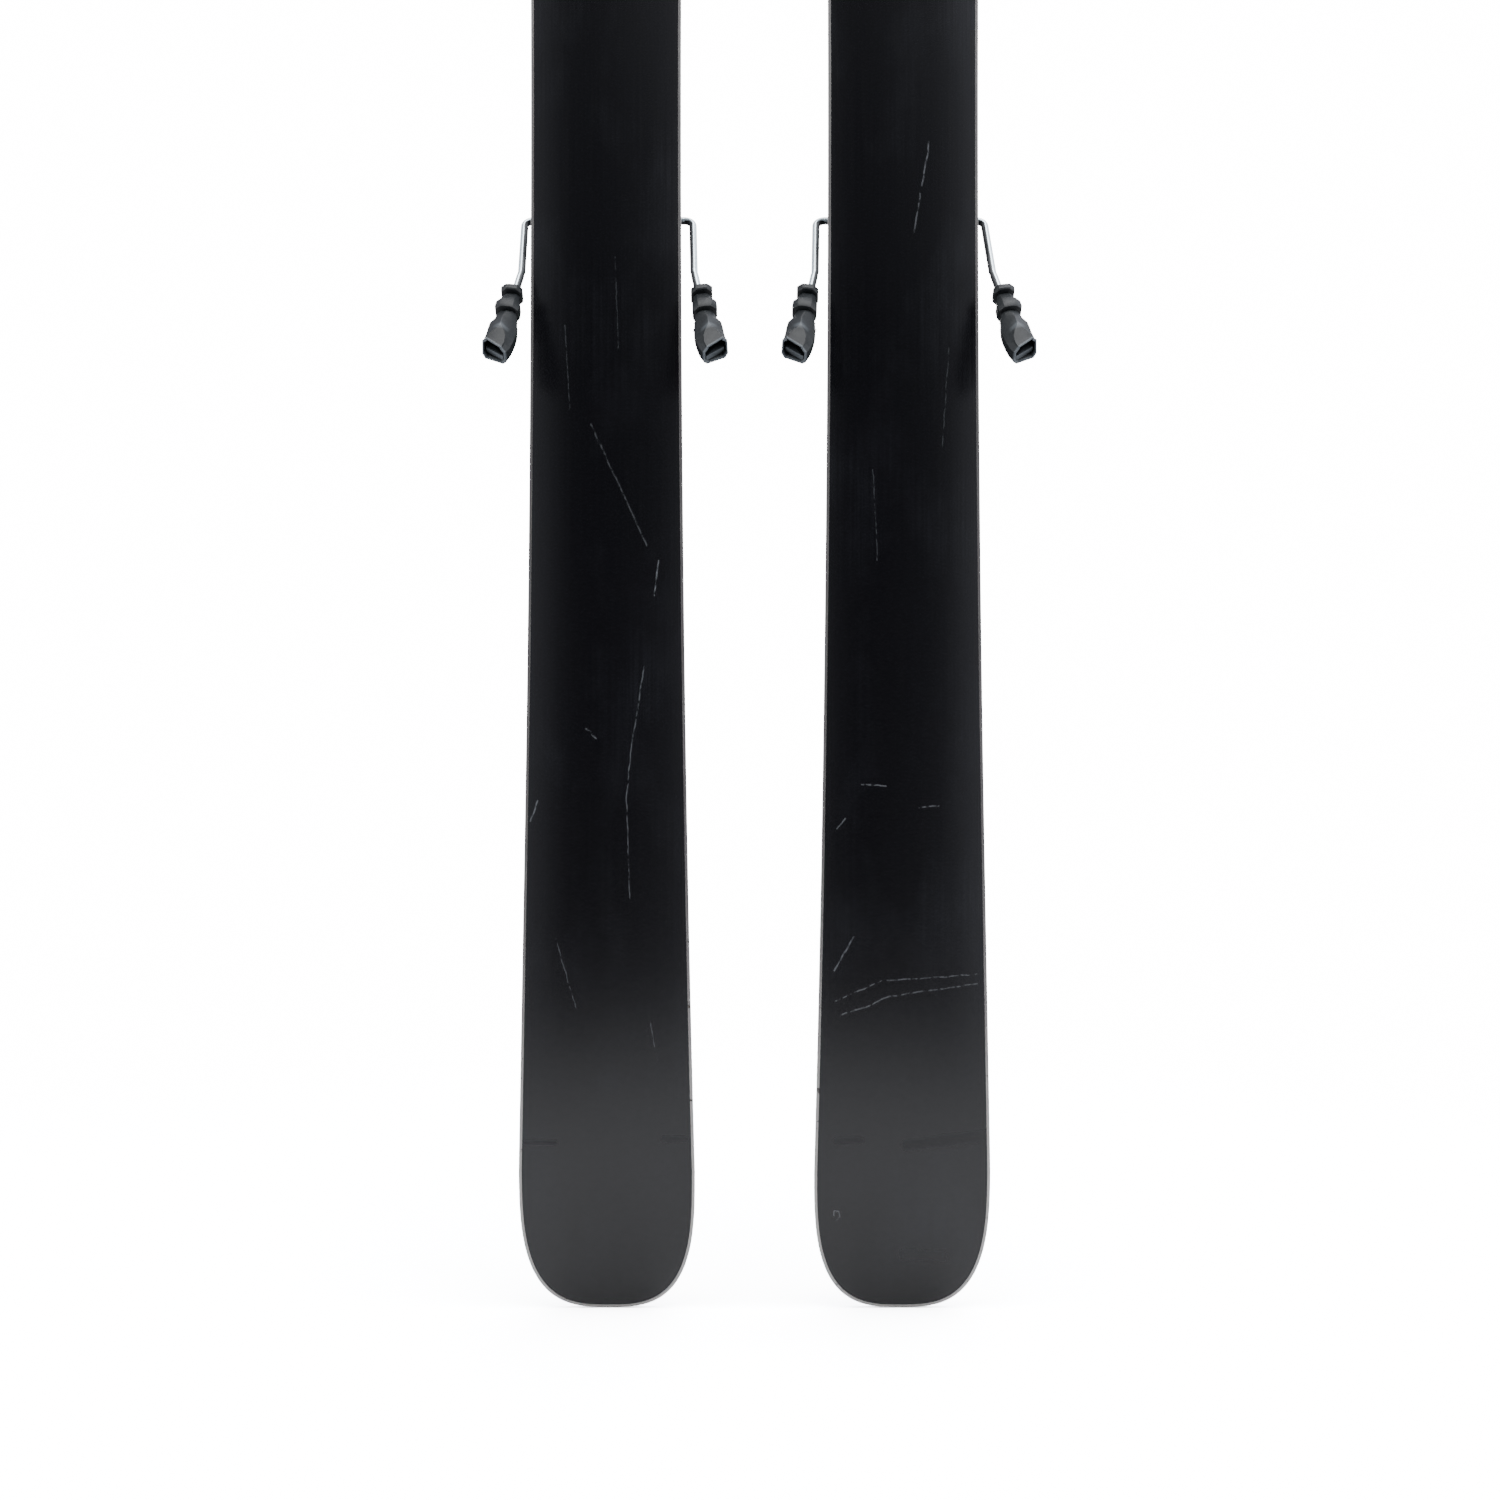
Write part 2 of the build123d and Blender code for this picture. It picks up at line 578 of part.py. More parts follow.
LEVER_REAR = 574
EAR_INNER = CUP_HALF + GAP

with BuildPart() as heel_lever:
    with BuildSketch(Plane.YZ.offset(EAR_INNER)):
        with BuildLine():
            Polyline(
                (LEVER_PIN[0] - 7, LEVER_PIN[1] + 3), (LEVER_PIN[0] - 2, LEVER_PIN[1] + 8),
                (LEVER_PIN[0] + 5, LEVER_PIN[1] + 6), (LEVER_PIN[0] + 8, LEVER_PIN[1] - 2),
                (LEVER_PIN[0] + 6, LEVER_REAR + 4), (LEVER_PIN[0] + 2, LEVER_REAR),
                (LEVER_PIN[0] - 6, LEVER_REAR + 2), (LEVER_PIN[0] - 7, LEVER_PIN[1] - 10), close=True,
            )
        make_face()
    extrude(amount=CARRIAGE_HALF - EAR_INNER)
    mirror(about=Plane.YZ)
    with BuildSketch(Plane.YZ.offset(-CARRIAGE_HALF)):
        with BuildLine():
            Polyline(
                (LEVER_PIN[0] + 6.4, LEVER_REAR + 20), (LEVER_PIN[0] + 6, LEVER_REAR + 4),
                (LEVER_PIN[0] + 2, LEVER_REAR), (LEVER_PIN[0] - 6, LEVER_REAR + 2),
                (LEVER_PIN[0] - 4, LEVER_REAR + 12), (LEVER_PIN[0] + 1, LEVER_REAR + 20), close=True,
            )
        make_face()
    extrude(amount=2 * CARRIAGE_HALF)
    with BuildSketch(Plane.YZ.offset(-CARRIAGE_HALF)):
        with Locations(LEVER_PIN):
            Circle(LEVER_PIN_RADIUS + FIT)
    extrude(amount=2 * CARRIAGE_HALF, mode=Mode.SUBTRACT)
keep("heel_lever", heel_lever)


# ---- brake -----------------------------------------------------------------------------
AXIS_POINT = Vector(0, *BRAKE_AXIS)
drop, climb = math.radians(BRAKE_DROP), math.radians(PEDAL_RISE)
ALONG_ARM = Vector(0, -math.sin(drop), -math.cos(drop))
ALONG_PEDAL = Vector(0, math.sin(climb), math.cos(climb))
ACROSS = Vector(1, 0, 0)


def arm_point(along, out):
    return AXIS_POINT + ALONG_ARM * along + ACROSS * out


with BuildPart() as brake_bracket:
    with BuildSketch(deck_plane(BRAKE_SEAT)):
        with Locations((0, (SHELF_FROM + CARRIAGE_TO) / 2)):
            Rectangle(2 * CARRIAGE_HALF - 2, CARRIAGE_TO - SHELF_FROM - 4)
    raise_by(BRACKET_THICKNESS)
    with BuildSketch(Plane.YZ.offset(EAR_FROM)):
        with BuildLine():
            Polyline(
                (BRAKE_SEAT, BRAKE_AXIS[1] - 10), (BRAKE_SEAT, BRAKE_AXIS[1] + 10),
                (BRAKE_AXIS[0] + 2, BRAKE_AXIS[1] + 5), (BRAKE_AXIS[0] + 5, BRAKE_AXIS[1] + 2),
                (BRAKE_AXIS[0] + 5, BRAKE_AXIS[1] - 2), (BRAKE_AXIS[0] + 2, BRAKE_AXIS[1] - 5), close=True,
            )
        make_face()
    extrude(amount=EAR_TO - EAR_FROM)
    mirror(about=Plane.YZ)
    with BuildSketch(Plane.YZ.offset(-ROOM)):
        with Locations(BRAKE_AXIS):
            Circle(WIRE_RADIUS + FIT)
    extrude(amount=2 * ROOM, mode=Mode.SUBTRACT)
keep("brake_bracket", brake_bracket)


def foot_line(reach):
    """Start and direction of a foot on the +X side, for its start's and end's reach outwards."""
    start = arm_point(FOOT_FROM, reach[0])
    return start, (arm_point(FOOT_TO, reach[1]) - start).normalized()


def brake_wire(reach):
    """The bent wire on the +X side: inside the pedal, out along the axis and down the arm into the foot."""
    start, ahead = foot_line(reach)
    with BuildPart() as wire:
        with BuildLine() as wire_path:
            FilletPolyline(
                AXIS_POINT + ACROSS * WIRE_INNER + ALONG_PEDAL * PEDAL_WIRE,
                AXIS_POINT + ACROSS * WIRE_INNER, arm_point(0, ARM_OFFSET),
                start - ahead * KINK_BEFORE_FOOT, start + ahead * WIRE_IN_FOOT, radius=WIRE_BEND,
            )
        with BuildSketch(Plane(origin=wire_path.line @ 0, z_dir=wire_path.line % 0)):
            Circle(WIRE_RADIUS)
        sweep(path=wire_path.line)
    return wire.part


def other_side(part):
    """The same piece on the -X side."""
    return mirror(part, about=Plane.YZ).solid()


usual_wire = brake_wire(ARM_REACH)
pieces["brake_wires"] = Compound(children=[usual_wire.solid(), other_side(usual_wire)])

with BuildPart() as brake_pedal:
    with BuildSketch(Plane(origin=AXIS_POINT - ACROSS * PEDAL_HALF, x_dir=ALONG_PEDAL, z_dir=ACROSS)):
        with BuildLine():
            Polyline(
                (-5, -2), (-5, 2), (-2, 5), (10, 5.5), (PEDAL_LENGTH - 5, 5), (PEDAL_LENGTH, 1),
                (PEDAL_LENGTH - 1, -3), (PEDAL_LENGTH - 6, -4.5), (3, -4.5), (-2, -4.5), close=True,
            )
        make_face()
    extrude(amount=2 * PEDAL_HALF)
    # the pedal is moulded over both wires
    add(usual_wire, mode=Mode.SUBTRACT)
    add(other_side(usual_wire), mode=Mode.SUBTRACT)
keep("brake_pedal", brake_pedal)

# each station of the foot: distance along it, inner and outer half widths, half depth
FOOT_COLLARS = [
    (0, 4.0, 7.4, 4.8), (1.8, 5.2, 8.9, 6.2), (5.8, 5.9, 8.2, 6.5), (7.4, 4.4, 6.0, 4.4),
    (12.5, 4.9, 6.5, 5.1), (16.3, 6.6, 9.1, 6.6), (21.8, 7.0, 9.0, 6.9), (24.7, 5.4, 6.0, 4.7),
]
FOOT_BULB = [
    (24.7, 5.4, 6.0, 4.7), (30.5, 7.0, 7.2, 5.6), (34.5, 8.0, 9.6, 6.2), (43, 9.2, 9.8, 7.0),
    (51, 9.1, 9.8, 7.0), (59.6, 7.2, 11.3, 6.8),
]
MOUTH_TILT = 27  # degrees that the mouth is turned outwards


def brake_foot(reach, wire):
    """The foot on the +X side, moulded over its wire: two collars, a bulb and a hollow, tilted mouth."""
    start, ahead = foot_line(reach)
    square = (ACROSS - ahead * ACROSS.dot(ahead)).normalized()
    tilt = math.radians(MOUTH_TILT)
    along, inner, outer, half_depth = FOOT_BULB[-1]
    mouth = Plane(
        origin=start + ahead * along + square * (outer - inner) / 2,
        x_dir=square * math.cos(tilt) - ahead * math.sin(tilt),
        z_dir=ahead * math.cos(tilt) + square * math.sin(tilt),
    )
    with BuildPart() as foot:
        for stations in (FOOT_COLLARS, FOOT_BULB):
            for station in stations:
                along, inner, outer, half_depth = station
                spot = start + ahead * along + square * (outer - inner) / 2
                level = Plane(origin=spot, x_dir=square, z_dir=ahead)
                with BuildSketch(mouth if station is FOOT_BULB[-1] else level):
                    RectangleRounded(inner + outer, 2 * half_depth, min(FOOT_CORNER, half_depth - 2.3))
            loft(ruled=True)
        with BuildSketch(mouth):
            RectangleRounded(inner + outer - 4, 2 * half_depth - 4, 1.5)
        extrude(amount=MOUTH_DEPTH, both=True, mode=Mode.SUBTRACT)
        add(wire, mode=Mode.SUBTRACT)
    return foot.part


usual_foot = brake_foot(ARM_REACH, usual_wire)
pieces["brake_feet"] = Compound(children=[usual_foot.solid(), other_side(usual_foot)])
worn_wire = brake_wire(WORN_ARM_REACH)
worn_foot = brake_foot(WORN_ARM_REACH, worn_wire)
left_only = {
    "brake_wires": Compound(children=[usual_wire.solid(), other_side(worn_wire)]),
    "brake_feet": Compound(children=[usual_foot.solid(), other_side(worn_foot)]),
}

brake_spring_from = Vector(EAR_TO + 0.5, *BRAKE_AXIS)
right_coil = coil(brake_spring_from, ACROSS, 14, 4.3, 0.9, 6)
left_coil = mirror(right_coil.part, about=Plane.YZ)
pieces["brake_springs"] = Compound(children=[right_coil.part.solid(), left_coil.solid()])


# ---- mounting screws ---------------------------------------------------------------------
def wood_screw(place, top):
    """A flush screw with a cross recess whose head ends at that height."""
    with BuildPart() as screw:
        with BuildSketch(deck_plane(top - SCREW_HEAD_HEIGHT)):
            with Locations(place):
                Circle(SCREW_HEAD_RADIUS)
        raise_by(SCREW_HEAD_HEIGHT)
        with BuildSketch(deck_plane(top)):
            with Locations(place):
                Rectangle(5.4, 1.1)
                Rectangle(1.1, 5.4)
        raise_by(-1.4, mode=Mode.SUBTRACT)
        with BuildSketch(deck_plane(SCREW_TIP)):
            with Locations(place):
                Circle(SCREW_RADIUS)
        raise_by(top - SCREW_HEAD_HEIGHT - SCREW_TIP)
    return screw.part.solid()


toe_screws = [wood_screw(place, TOE_PLATE_TOP) for place in TOE_SCREWS]
heel_screws = [wood_screw(place, TRACK_TOP) for place in HEEL_SCREWS]
pieces["mounting_screws"] = Compound(children=toe_screws + heel_screws)


# ---- one file for each piece of each ski ---------------------------------------------------
os.makedirs("parts", exist_ok=True)
for side, centre in (("left", -SKI_SPACING / 2), ("right", SKI_SPACING / 2)):
    for name, usual in pieces.items():
        shape = left_only.get(name, usual) if side == "left" else usual
        placed = Pos(centre, 0, 0) * shape
        placed.label = f"{side}_{name}"
        export_step(placed, f"parts/{side}_{name}.step")
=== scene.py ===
"""Looks of a pair of alpine skis with bindings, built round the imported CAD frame.

Lengths are worked out in millimetres in the row frame and scaled to metres when a mesh
is made. X runs across the pair, Y from the running bases to the bindings, Z up the skis.
"""
import math

import bmesh
import bpy
from bpy.props import FloatProperty, FloatVectorProperty
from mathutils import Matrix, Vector


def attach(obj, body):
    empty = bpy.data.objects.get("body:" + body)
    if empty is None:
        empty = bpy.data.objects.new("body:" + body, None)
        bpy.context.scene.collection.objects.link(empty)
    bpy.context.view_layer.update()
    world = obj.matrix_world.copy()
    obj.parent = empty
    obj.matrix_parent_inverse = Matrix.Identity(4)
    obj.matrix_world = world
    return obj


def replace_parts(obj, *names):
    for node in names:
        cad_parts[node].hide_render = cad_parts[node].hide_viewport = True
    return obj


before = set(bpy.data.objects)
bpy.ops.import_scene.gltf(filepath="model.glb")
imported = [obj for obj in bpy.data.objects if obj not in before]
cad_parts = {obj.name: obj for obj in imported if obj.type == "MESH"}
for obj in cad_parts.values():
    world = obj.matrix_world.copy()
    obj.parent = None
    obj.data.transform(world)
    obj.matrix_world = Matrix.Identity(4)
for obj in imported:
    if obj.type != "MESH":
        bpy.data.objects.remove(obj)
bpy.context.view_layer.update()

bl_info = {
    "name": "Alpine ski pair",
    "version": (1, 0, 0),
    "blender": (4, 5, 0),
    "location": "3D View > Sidebar > Skis",
    "description": "Builds the looks of a pair of alpine skis with bindings round its CAD frame",
    "category": "Object",
}

MM = 0.001
CENTRES = {"left": -98.0, "right": 98.0}
LENGTH = 1780.0
# the outline: places of its widest and narrowest points, half widths there, and how square the ends are
TAIL_WIDE_AT, WAIST_AT, TIP_WIDE_AT = 95.0, 800.0, 1600.0
TAIL_HALF, WAIST_HALF, TIP_HALF = 58.5, 49.5, 64.0
TAIL_ROUNDNESS, TIP_ROUNDNESS = 3.0, 2.3
# the profile: flat between two places, gently rockered outside them, then kicked up at the ends
FLAT_FROM, FLAT_TO = 300.0, 1400.0
TAIL_KICK_AT, TAIL_KICK_RADIUS, TAIL_ROCKER_RADIUS = 110.0, 450.0, 3000.0
TIP_KICK_AT, TIP_KICK_RADIUS, TIP_ROCKER_RADIUS = 1600.0, 360.0, 2500.0
WAIST_THICKNESS, TAIL_THICKNESS, TIP_THICKNESS = 12.0, 6.0, 5.0
DECK_FROM, DECK_TO = 560.0, 1120.0
# the brakes: axis as (y, z), angles in degrees, and lengths along the arm or outwards from the ski's middle
BRAKE_AXIS = (28.0, 731.5)
BRAKE_DROP, PEDAL_RISE = 38.0, 40.0
ARM_OFFSET = 56.5
PEDAL_WIRE_OUT, PEDAL_WIRE_UP = 12.0, 34.0
WIRE_BEND, BEND_BEFORE_FOOT, WIRE_IN_FOOT = 6.0, 20.0, 38.0
PRESS_MARK_AT, PRESS_MARK_WIDTH, PRESS_MARK_DEPTH = 18.0, 1.3, 0.22
FOOT_FROM, FOOT_TO = 73.5, 139.5
ARM_REACH, WORN_ARM_REACH = (61.5, 72.5), (57.5, 66.0)


# ---- small tools ----
def linear(code):
    """An sRGB hex colour as linear red, green, blue and alpha."""
    parts = [int(code[k : k + 2], 16) / 255 for k in (1, 3, 5)]
    return tuple(p / 12.92 if p <= 0.04045 else ((p + 0.055) / 1.055) ** 2.4 for p in parts) + (1.0,)


def plug(tree, node, name, value):
    """Sets an input of a node, or links it from a socket or from another node's first live output."""
    if isinstance(value, bpy.types.Node):
        value = next(socket for socket in value.outputs if socket.enabled)
    if isinstance(value, bpy.types.NodeSocket):
        tree.links.new(value, node.inputs[name])
    else:
        node.inputs[name].default_value = value


def add(tree, kind, inputs=None, **settings):
    """Adds a node with its settings, and its inputs as values or as what to link from.

    Inputs go by name, or by number where a node has several of one name: a Mix node's factor
    is 0 and its colours are 6 and 7.
    """
    made = tree.nodes.new(kind)
    for name, value in settings.items():
        setattr(made, name, value)
    for name, value in (inputs or {}).items():
        plug(tree, made, name, value)
    return made


def grain(tree, size, stretch=(1, 1, 1), detail=3.0, roughness=0.5):
    """A soft random pattern from 0 to 1 whose blots are about that many millimetres across."""
    where = add(tree, "ShaderNodeTexCoord").outputs["Object"]
    scale = [1 / (MM * size * s) for s in stretch]
    stretched = add(tree, "ShaderNodeMapping", {"Vector": where, "Scale": scale})
    inputs = {"Vector": stretched, "Scale": 1.0, "Detail": detail, "Roughness": roughness}
    return add(tree, "ShaderNodeTexNoise", inputs)


MATERIALS = {}


def material(name):
    """An empty material with a principled surface, as (its tree, its surface node)."""
    made = bpy.data.materials.new(name)
    made.use_nodes = True
    tree = made.node_tree
    tree.nodes.clear()
    surface = add(tree, "ShaderNodeBsdfPrincipled")
    add(tree, "ShaderNodeOutputMaterial", {"Surface": surface})
    MATERIALS[name] = made
    return tree, surface


def drive(tree, surface, **inputs):
    """Sets or links the surface's inputs, with _ for the spaces in their names."""
    for name, value in inputs.items():
        plug(tree, surface, name.replace("_", " "), value)


def linked(name, data):
    """A new object of the scene that shows a mesh, a light or a camera."""
    obj = bpy.data.objects.new(name, data)
    bpy.context.scene.collection.objects.link(obj)
    return obj


def finish_piece(mesh, name, body, finish, smooth=35.0):
    """Makes a piece of a mesh in the row frame, smooth up to an angle, riding on a body."""
    obj = linked(name, mesh)
    mesh.materials.clear()
    mesh.materials.append(MATERIALS[finish])
    mesh.shade_smooth()
    mesh.set_sharp_from_angle(angle=math.radians(smooth))
    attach(obj, body)
    return obj


def written(build, name):
    """The mesh that a bmesh holds, as it stands."""
    mesh = bpy.data.meshes.new(name)
    build.to_mesh(mesh)
    build.free()
    return mesh


def mesh_of(build, name):
    """A mesh in metres from a bmesh that is drawn in millimetres."""
    bmesh.ops.remove_doubles(build, verts=build.verts, dist=1e-4)
    bmesh.ops.scale(build, vec=(MM, MM, MM), verts=build.verts)
    bmesh.ops.recalc_face_normals(build, faces=build.faces)
    return written(build, name)


def walled(build, rows, closed=True):
    """Skins a bmesh from row to row, each row closed on itself or open."""
    for below, above in zip(rows, rows[1:]):
        count = len(below)
        for k in range(count if closed else count - 1):
            n = (k + 1) % count
            build.faces.new((below[k], below[n], above[n], above[k]))


# ---- the ski's form ----
def rise(z):
    """Height of the base above the running plane."""
    if z < FLAT_FROM:
        rocker, kick = min(FLAT_FROM - z, FLAT_FROM - TAIL_KICK_AT), max(TAIL_KICK_AT - z, 0)
        turn, bend = TAIL_ROCKER_RADIUS, TAIL_KICK_RADIUS
    elif z > FLAT_TO:
        rocker, kick = min(z - FLAT_TO, TIP_KICK_AT - FLAT_TO), max(z - TIP_KICK_AT, 0)
        turn, bend = TIP_ROCKER_RADIUS, TIP_KICK_RADIUS
    else:
        return 0.0
    return rocker**2 / (2 * turn) + rocker / turn * kick + kick**2 / (2 * bend)


def thickness(z):
    """Thickness of the ski: even under the boot, thinner towards both ends."""
    if z < DECK_FROM:
        share, end = ((DECK_FROM - z) / DECK_FROM) ** 1.5, TAIL_THICKNESS
    elif z > DECK_TO:
        share, end = ((z - DECK_TO) / (LENGTH - DECK_TO)) ** 1.3, TIP_THICKNESS
    else:
        return WAIST_THICKNESS
    return WAIST_THICKNESS - (WAIST_THICKNESS - end) * share


# steps round each end, which crowd towards its middle by these powers, and the pitch between
END_STEPS, SIDE_PITCH = 44, 16.0
TAIL_CROWDING, TIP_CROWDING = 1.15, 0.87


def stations():
    """Places along the outline, as functions from an inset to (half width, z)."""
    def closing(width, centre, end, power, angle):
        across, along = abs(math.cos(angle)) ** (2 / power), math.sin(angle) ** (2 / power)
        sign = 1 if end > centre else -1
        reach = abs(end - centre)
        return lambda inset: ((width - inset) * across, centre + sign * (reach - inset) * along)

    def side(z):
        near, half = (TAIL_WIDE_AT, TAIL_HALF) if z < WAIST_AT else (TIP_WIDE_AT, TIP_HALF)
        share = (z - WAIST_AT) / (near - WAIST_AT)
        width = WAIST_HALF + (half - WAIST_HALF) * share**2
        return lambda inset: (width - inset, z)

    spots = []
    for k in range(END_STEPS + 1):
        angle = math.pi / 2 * (1 - (k / END_STEPS) ** TAIL_CROWDING)
        spots.append(closing(TAIL_HALF, TAIL_WIDE_AT, 0.0, TAIL_ROUNDNESS, max(angle, 0)))
    count = int((TIP_WIDE_AT - TAIL_WIDE_AT) / SIDE_PITCH)
    for k in range(1, count):
        spots.append(side(TAIL_WIDE_AT + (TIP_WIDE_AT - TAIL_WIDE_AT) * k / count))
    for k in range(END_STEPS + 1):
        angle = math.pi / 2 * (k / END_STEPS) ** TIP_CROWDING
        spots.append(closing(TIP_HALF, TIP_WIDE_AT, LENGTH, TIP_ROUNDNESS, angle))
    return spots


def ski_layer(name, centre, section, ring):
    """A layer of the ski from its section: (inset, share of thickness, extra height) corners.

    A ring closes its section round the outline. A plate joins its left half to its right.
    The attribute "across" runs from -1 at the left edge to 1 at the right.
    """
    build = bmesh.new()
    across = build.verts.layers.float.new("across")
    rows = []
    for spot in stations():
        for side in (-1, 1):
            row = []
            for inset, share, extra in section:
                half, z = spot(inset)
                y = rise(z) + share * thickness(z) + extra
                vertex = build.verts.new((centre + side * max(half, 0), y, z))
                vertex[across] = side * max(half, 0) / max(spot(0)[0], 1)
                row.append(vertex)
            rows.append(row)
    left, right = rows[0::2], rows[1::2]
    walled(build, left, ring)
    walled(build, right, ring)
    if not ring:
        for k in (0, -1):
            for a, b, c, d in zip(left, right, left[1:], right[1:]):
                build.faces.new((a[k], b[k], d[k], c[k]))
    bmesh.ops.dissolve_degenerate(build, edges=build.edges, dist=1e-4)
    return mesh_of(build, name)


# ---- other forms ----
def tube(name, points, radii, shade_side, sides=28):
    """A round bar along a line of points, with closed ends.

    The attribute "shaded" is painted shade: 1 where the bar faces the shaded side and 0 where it
    faces away. A stretch that runs along that direction is shaded underneath only.
    """
    build = bmesh.new()
    shaded = build.verts.layers.float.new("shaded")
    turns = [2 * math.pi * s / sides for s in range(sides)]
    rings = []
    across = (points[1] - points[0]).normalized().orthogonal().normalized()
    for k, (point, size) in enumerate(zip(points, radii)):
        ahead = (points[min(k + 1, len(points) - 1)] - points[max(k - 1, 0)]).normalized()
        across = (across - ahead * across.dot(ahead)).normalized()
        up = ahead.cross(across)
        outward = [across * math.cos(t) + up * math.sin(t) for t in turns]
        rings.append([build.verts.new(point + way * size) for way in outward])
        aside = abs(ahead.dot(shade_side))
        for vertex, way in zip(rings[-1], outward):
            vertex[shaded] = way.dot(shade_side) / 2 + 0.5 - 0.12 * aside - 0.3 * aside * way.z
    walled(build, rings)
    build.faces.new(rings[0][::-1])
    build.faces.new(rings[-1])
    return mesh_of(build, name)


def rounded_path(corners, radius, steps):
    """A line through corners, each rounded by an arc of that radius."""
    path = [corners[0]]
    for before, here, after in zip(corners, corners[1:], corners[2:]):
        back, on = (before - here).normalized(), (after - here).normalized()
        half = math.acos(max(-1, min(1, back.dot(on)))) / 2
        # a corner that is almost straight stays a point
        if half > math.radians(89):
            path.append(here)
            continue
        middle = here + (back + on).normalized() * (radius / math.sin(half))
        reach = radius / math.tan(half)
        start, end = here + back * reach, here + on * reach
        for k in range(steps + 1):
            arm = (start - middle).lerp(end - middle, k / steps)
            path.append(middle + arm.normalized() * radius)
    path.append(corners[-1])
    return path


def densified(path, pitch):
    """The same line with points about a pitch apart."""
    out = [path[0]]
    for a, b in zip(path, path[1:]):
        count = max(1, int((b - a).length / pitch))
        out += [a.lerp(b, k / count) for k in range(1, count + 1)]
    return out


def slab(name, outline, low, high, bevel):
    """A plate: an outline in X and Z, from low to high along Y, with its edges rounded."""
    build = bmesh.new()
    rows = [[build.verts.new((x, y, z)) for x, z in outline] for y in (low, high)]
    for row in rows:
        build.faces.new(row)
    walled(build, rows)
    bmesh.ops.recalc_face_normals(build, faces=build.faces)
    sharp = [e for e in build.edges if e.calc_face_angle(0) > math.radians(20)]
    bmesh.ops.bevel(build, geom=sharp, offset=bevel, segments=2, profile=0.5, affect="EDGES")
    return mesh_of(build, name)


def baked_mesh(obj):
    """The object's mesh with its modifiers applied. The object itself goes."""
    view = bpy.context.evaluated_depsgraph_get()
    mesh = bpy.data.meshes.new_from_object(obj.evaluated_get(view))
    bpy.data.objects.remove(obj)
    return mesh


def softened(node, name, body, finish, width):
    """A piece that stands for one CAD node: the same form with its sharp edges rounded."""
    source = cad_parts[node]
    build = bmesh.new()
    build.from_mesh(source.data)
    build.transform(source.matrix_world)
    bmesh.ops.remove_doubles(build, verts=build.verts, dist=2e-6)
    bmesh.ops.dissolve_limit(
        build, angle_limit=math.radians(1.0), verts=build.verts, edges=build.edges, delimit={"NORMAL"}
    )
    obj = linked(name, written(build, name))
    modifier = obj.modifiers.new("soft edges", "BEVEL")
    modifier.width = width * MM * bpy.context.scene.binding_looks.rounding
    modifier.segments = 2
    modifier.limit_method = "ANGLE"
    modifier.angle_limit = math.radians(30)
    modifier.harden_normals = False
    modifier.miter_outer = "MITER_ARC"
    baked = baked_mesh(obj)
    baked.name = name
    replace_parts(finish_piece(baked, name, body, finish), node)


def joined(name, meshes):
    """One mesh of several."""
    build = bmesh.new()
    for mesh in meshes:
        build.from_mesh(mesh)
    return written(build, name)


def mirrored(mesh, centre, name):
    """The mesh mirrored across the plane X = centre."""
    build = bmesh.new()
    build.from_mesh(mesh)
    for vertex in build.verts:
        vertex.co.x = 2 * centre * MM - vertex.co.x
    bmesh.ops.reverse_faces(build, faces=build.faces)
    return written(build, name)


# ---- finishes ----
def plain_finish(name, colour, roughness, spread=0.08, size=6.0, bump=0.0, bump_size=0.4, **more):
    """A moulded, coated or ground surface: one colour, with uneven gloss and a fine grain."""
    tree, surface = material(name)
    low, high = roughness - spread / 2, roughness + spread / 2
    blots = grain(tree, size)
    span = {"Value": blots, "From Min": 0.3, "From Max": 0.7, "To Min": low, "To Max": high}
    gloss = add(tree, "ShaderNodeMapRange", span)
    drive(tree, surface, Base_Color=colour, Roughness=gloss, **more)
    if bump:
        height = grain(tree, bump_size, detail=2.0)
        raised = add(tree, "ShaderNodeBump", {"Height": height, "Strength": bump, "Distance": 0.05 * MM})
        drive(tree, surface, Normal=raised)


def scratch_group():
    """A node group: one straight scratch on the base, from one (x, z) to another, in millimetres."""
    tree = bpy.data.node_groups.new("Base scratch", "ShaderNodeTree")
    for name, kind in (
        ("Before", "NodeSocketFloat"), ("Place", "NodeSocketVector"), ("Start", "NodeSocketVector"),
        ("End", "NodeSocketVector"), ("Width", "NodeSocketFloat"), ("Depth", "NodeSocketFloat"),
    ):
        tree.interface.new_socket(name, in_out="INPUT", socket_type=kind)
    tree.interface.new_socket("Marks", in_out="OUTPUT", socket_type="NodeSocketFloat")
    given = add(tree, "NodeGroupInput").outputs
    run = add(tree, "ShaderNodeVectorMath", {0: given["End"], 1: given["Start"]}, operation="SUBTRACT")
    here = add(tree, "ShaderNodeVectorMath", {0: given["Place"], 1: given["Start"]}, operation="SUBTRACT")
    dot = add(tree, "ShaderNodeVectorMath", {0: here, 1: run}, operation="DOT_PRODUCT")
    square = add(tree, "ShaderNodeVectorMath", {0: run, 1: run}, operation="DOT_PRODUCT")
    share = add(tree, "ShaderNodeMath", {0: dot, 1: square}, operation="DIVIDE", use_clamp=True)
    foot = add(tree, "ShaderNodeVectorMath", {0: run, "Scale": share}, operation="SCALE")
    off = add(tree, "ShaderNodeVectorMath", {0: here, 1: foot}, operation="DISTANCE")
    span = {"Value": off, "From Max": given["Width"], "To Min": given["Depth"], "To Max": 0.0}
    near = add(tree, "ShaderNodeMapRange", span, interpolation_type="SMOOTHSTEP")
    most = add(tree, "ShaderNodeMath", {0: given["Before"], 1: near}, operation="MAXIMUM")
    add(tree, "NodeGroupOutput", {"Marks": most})
    return tree


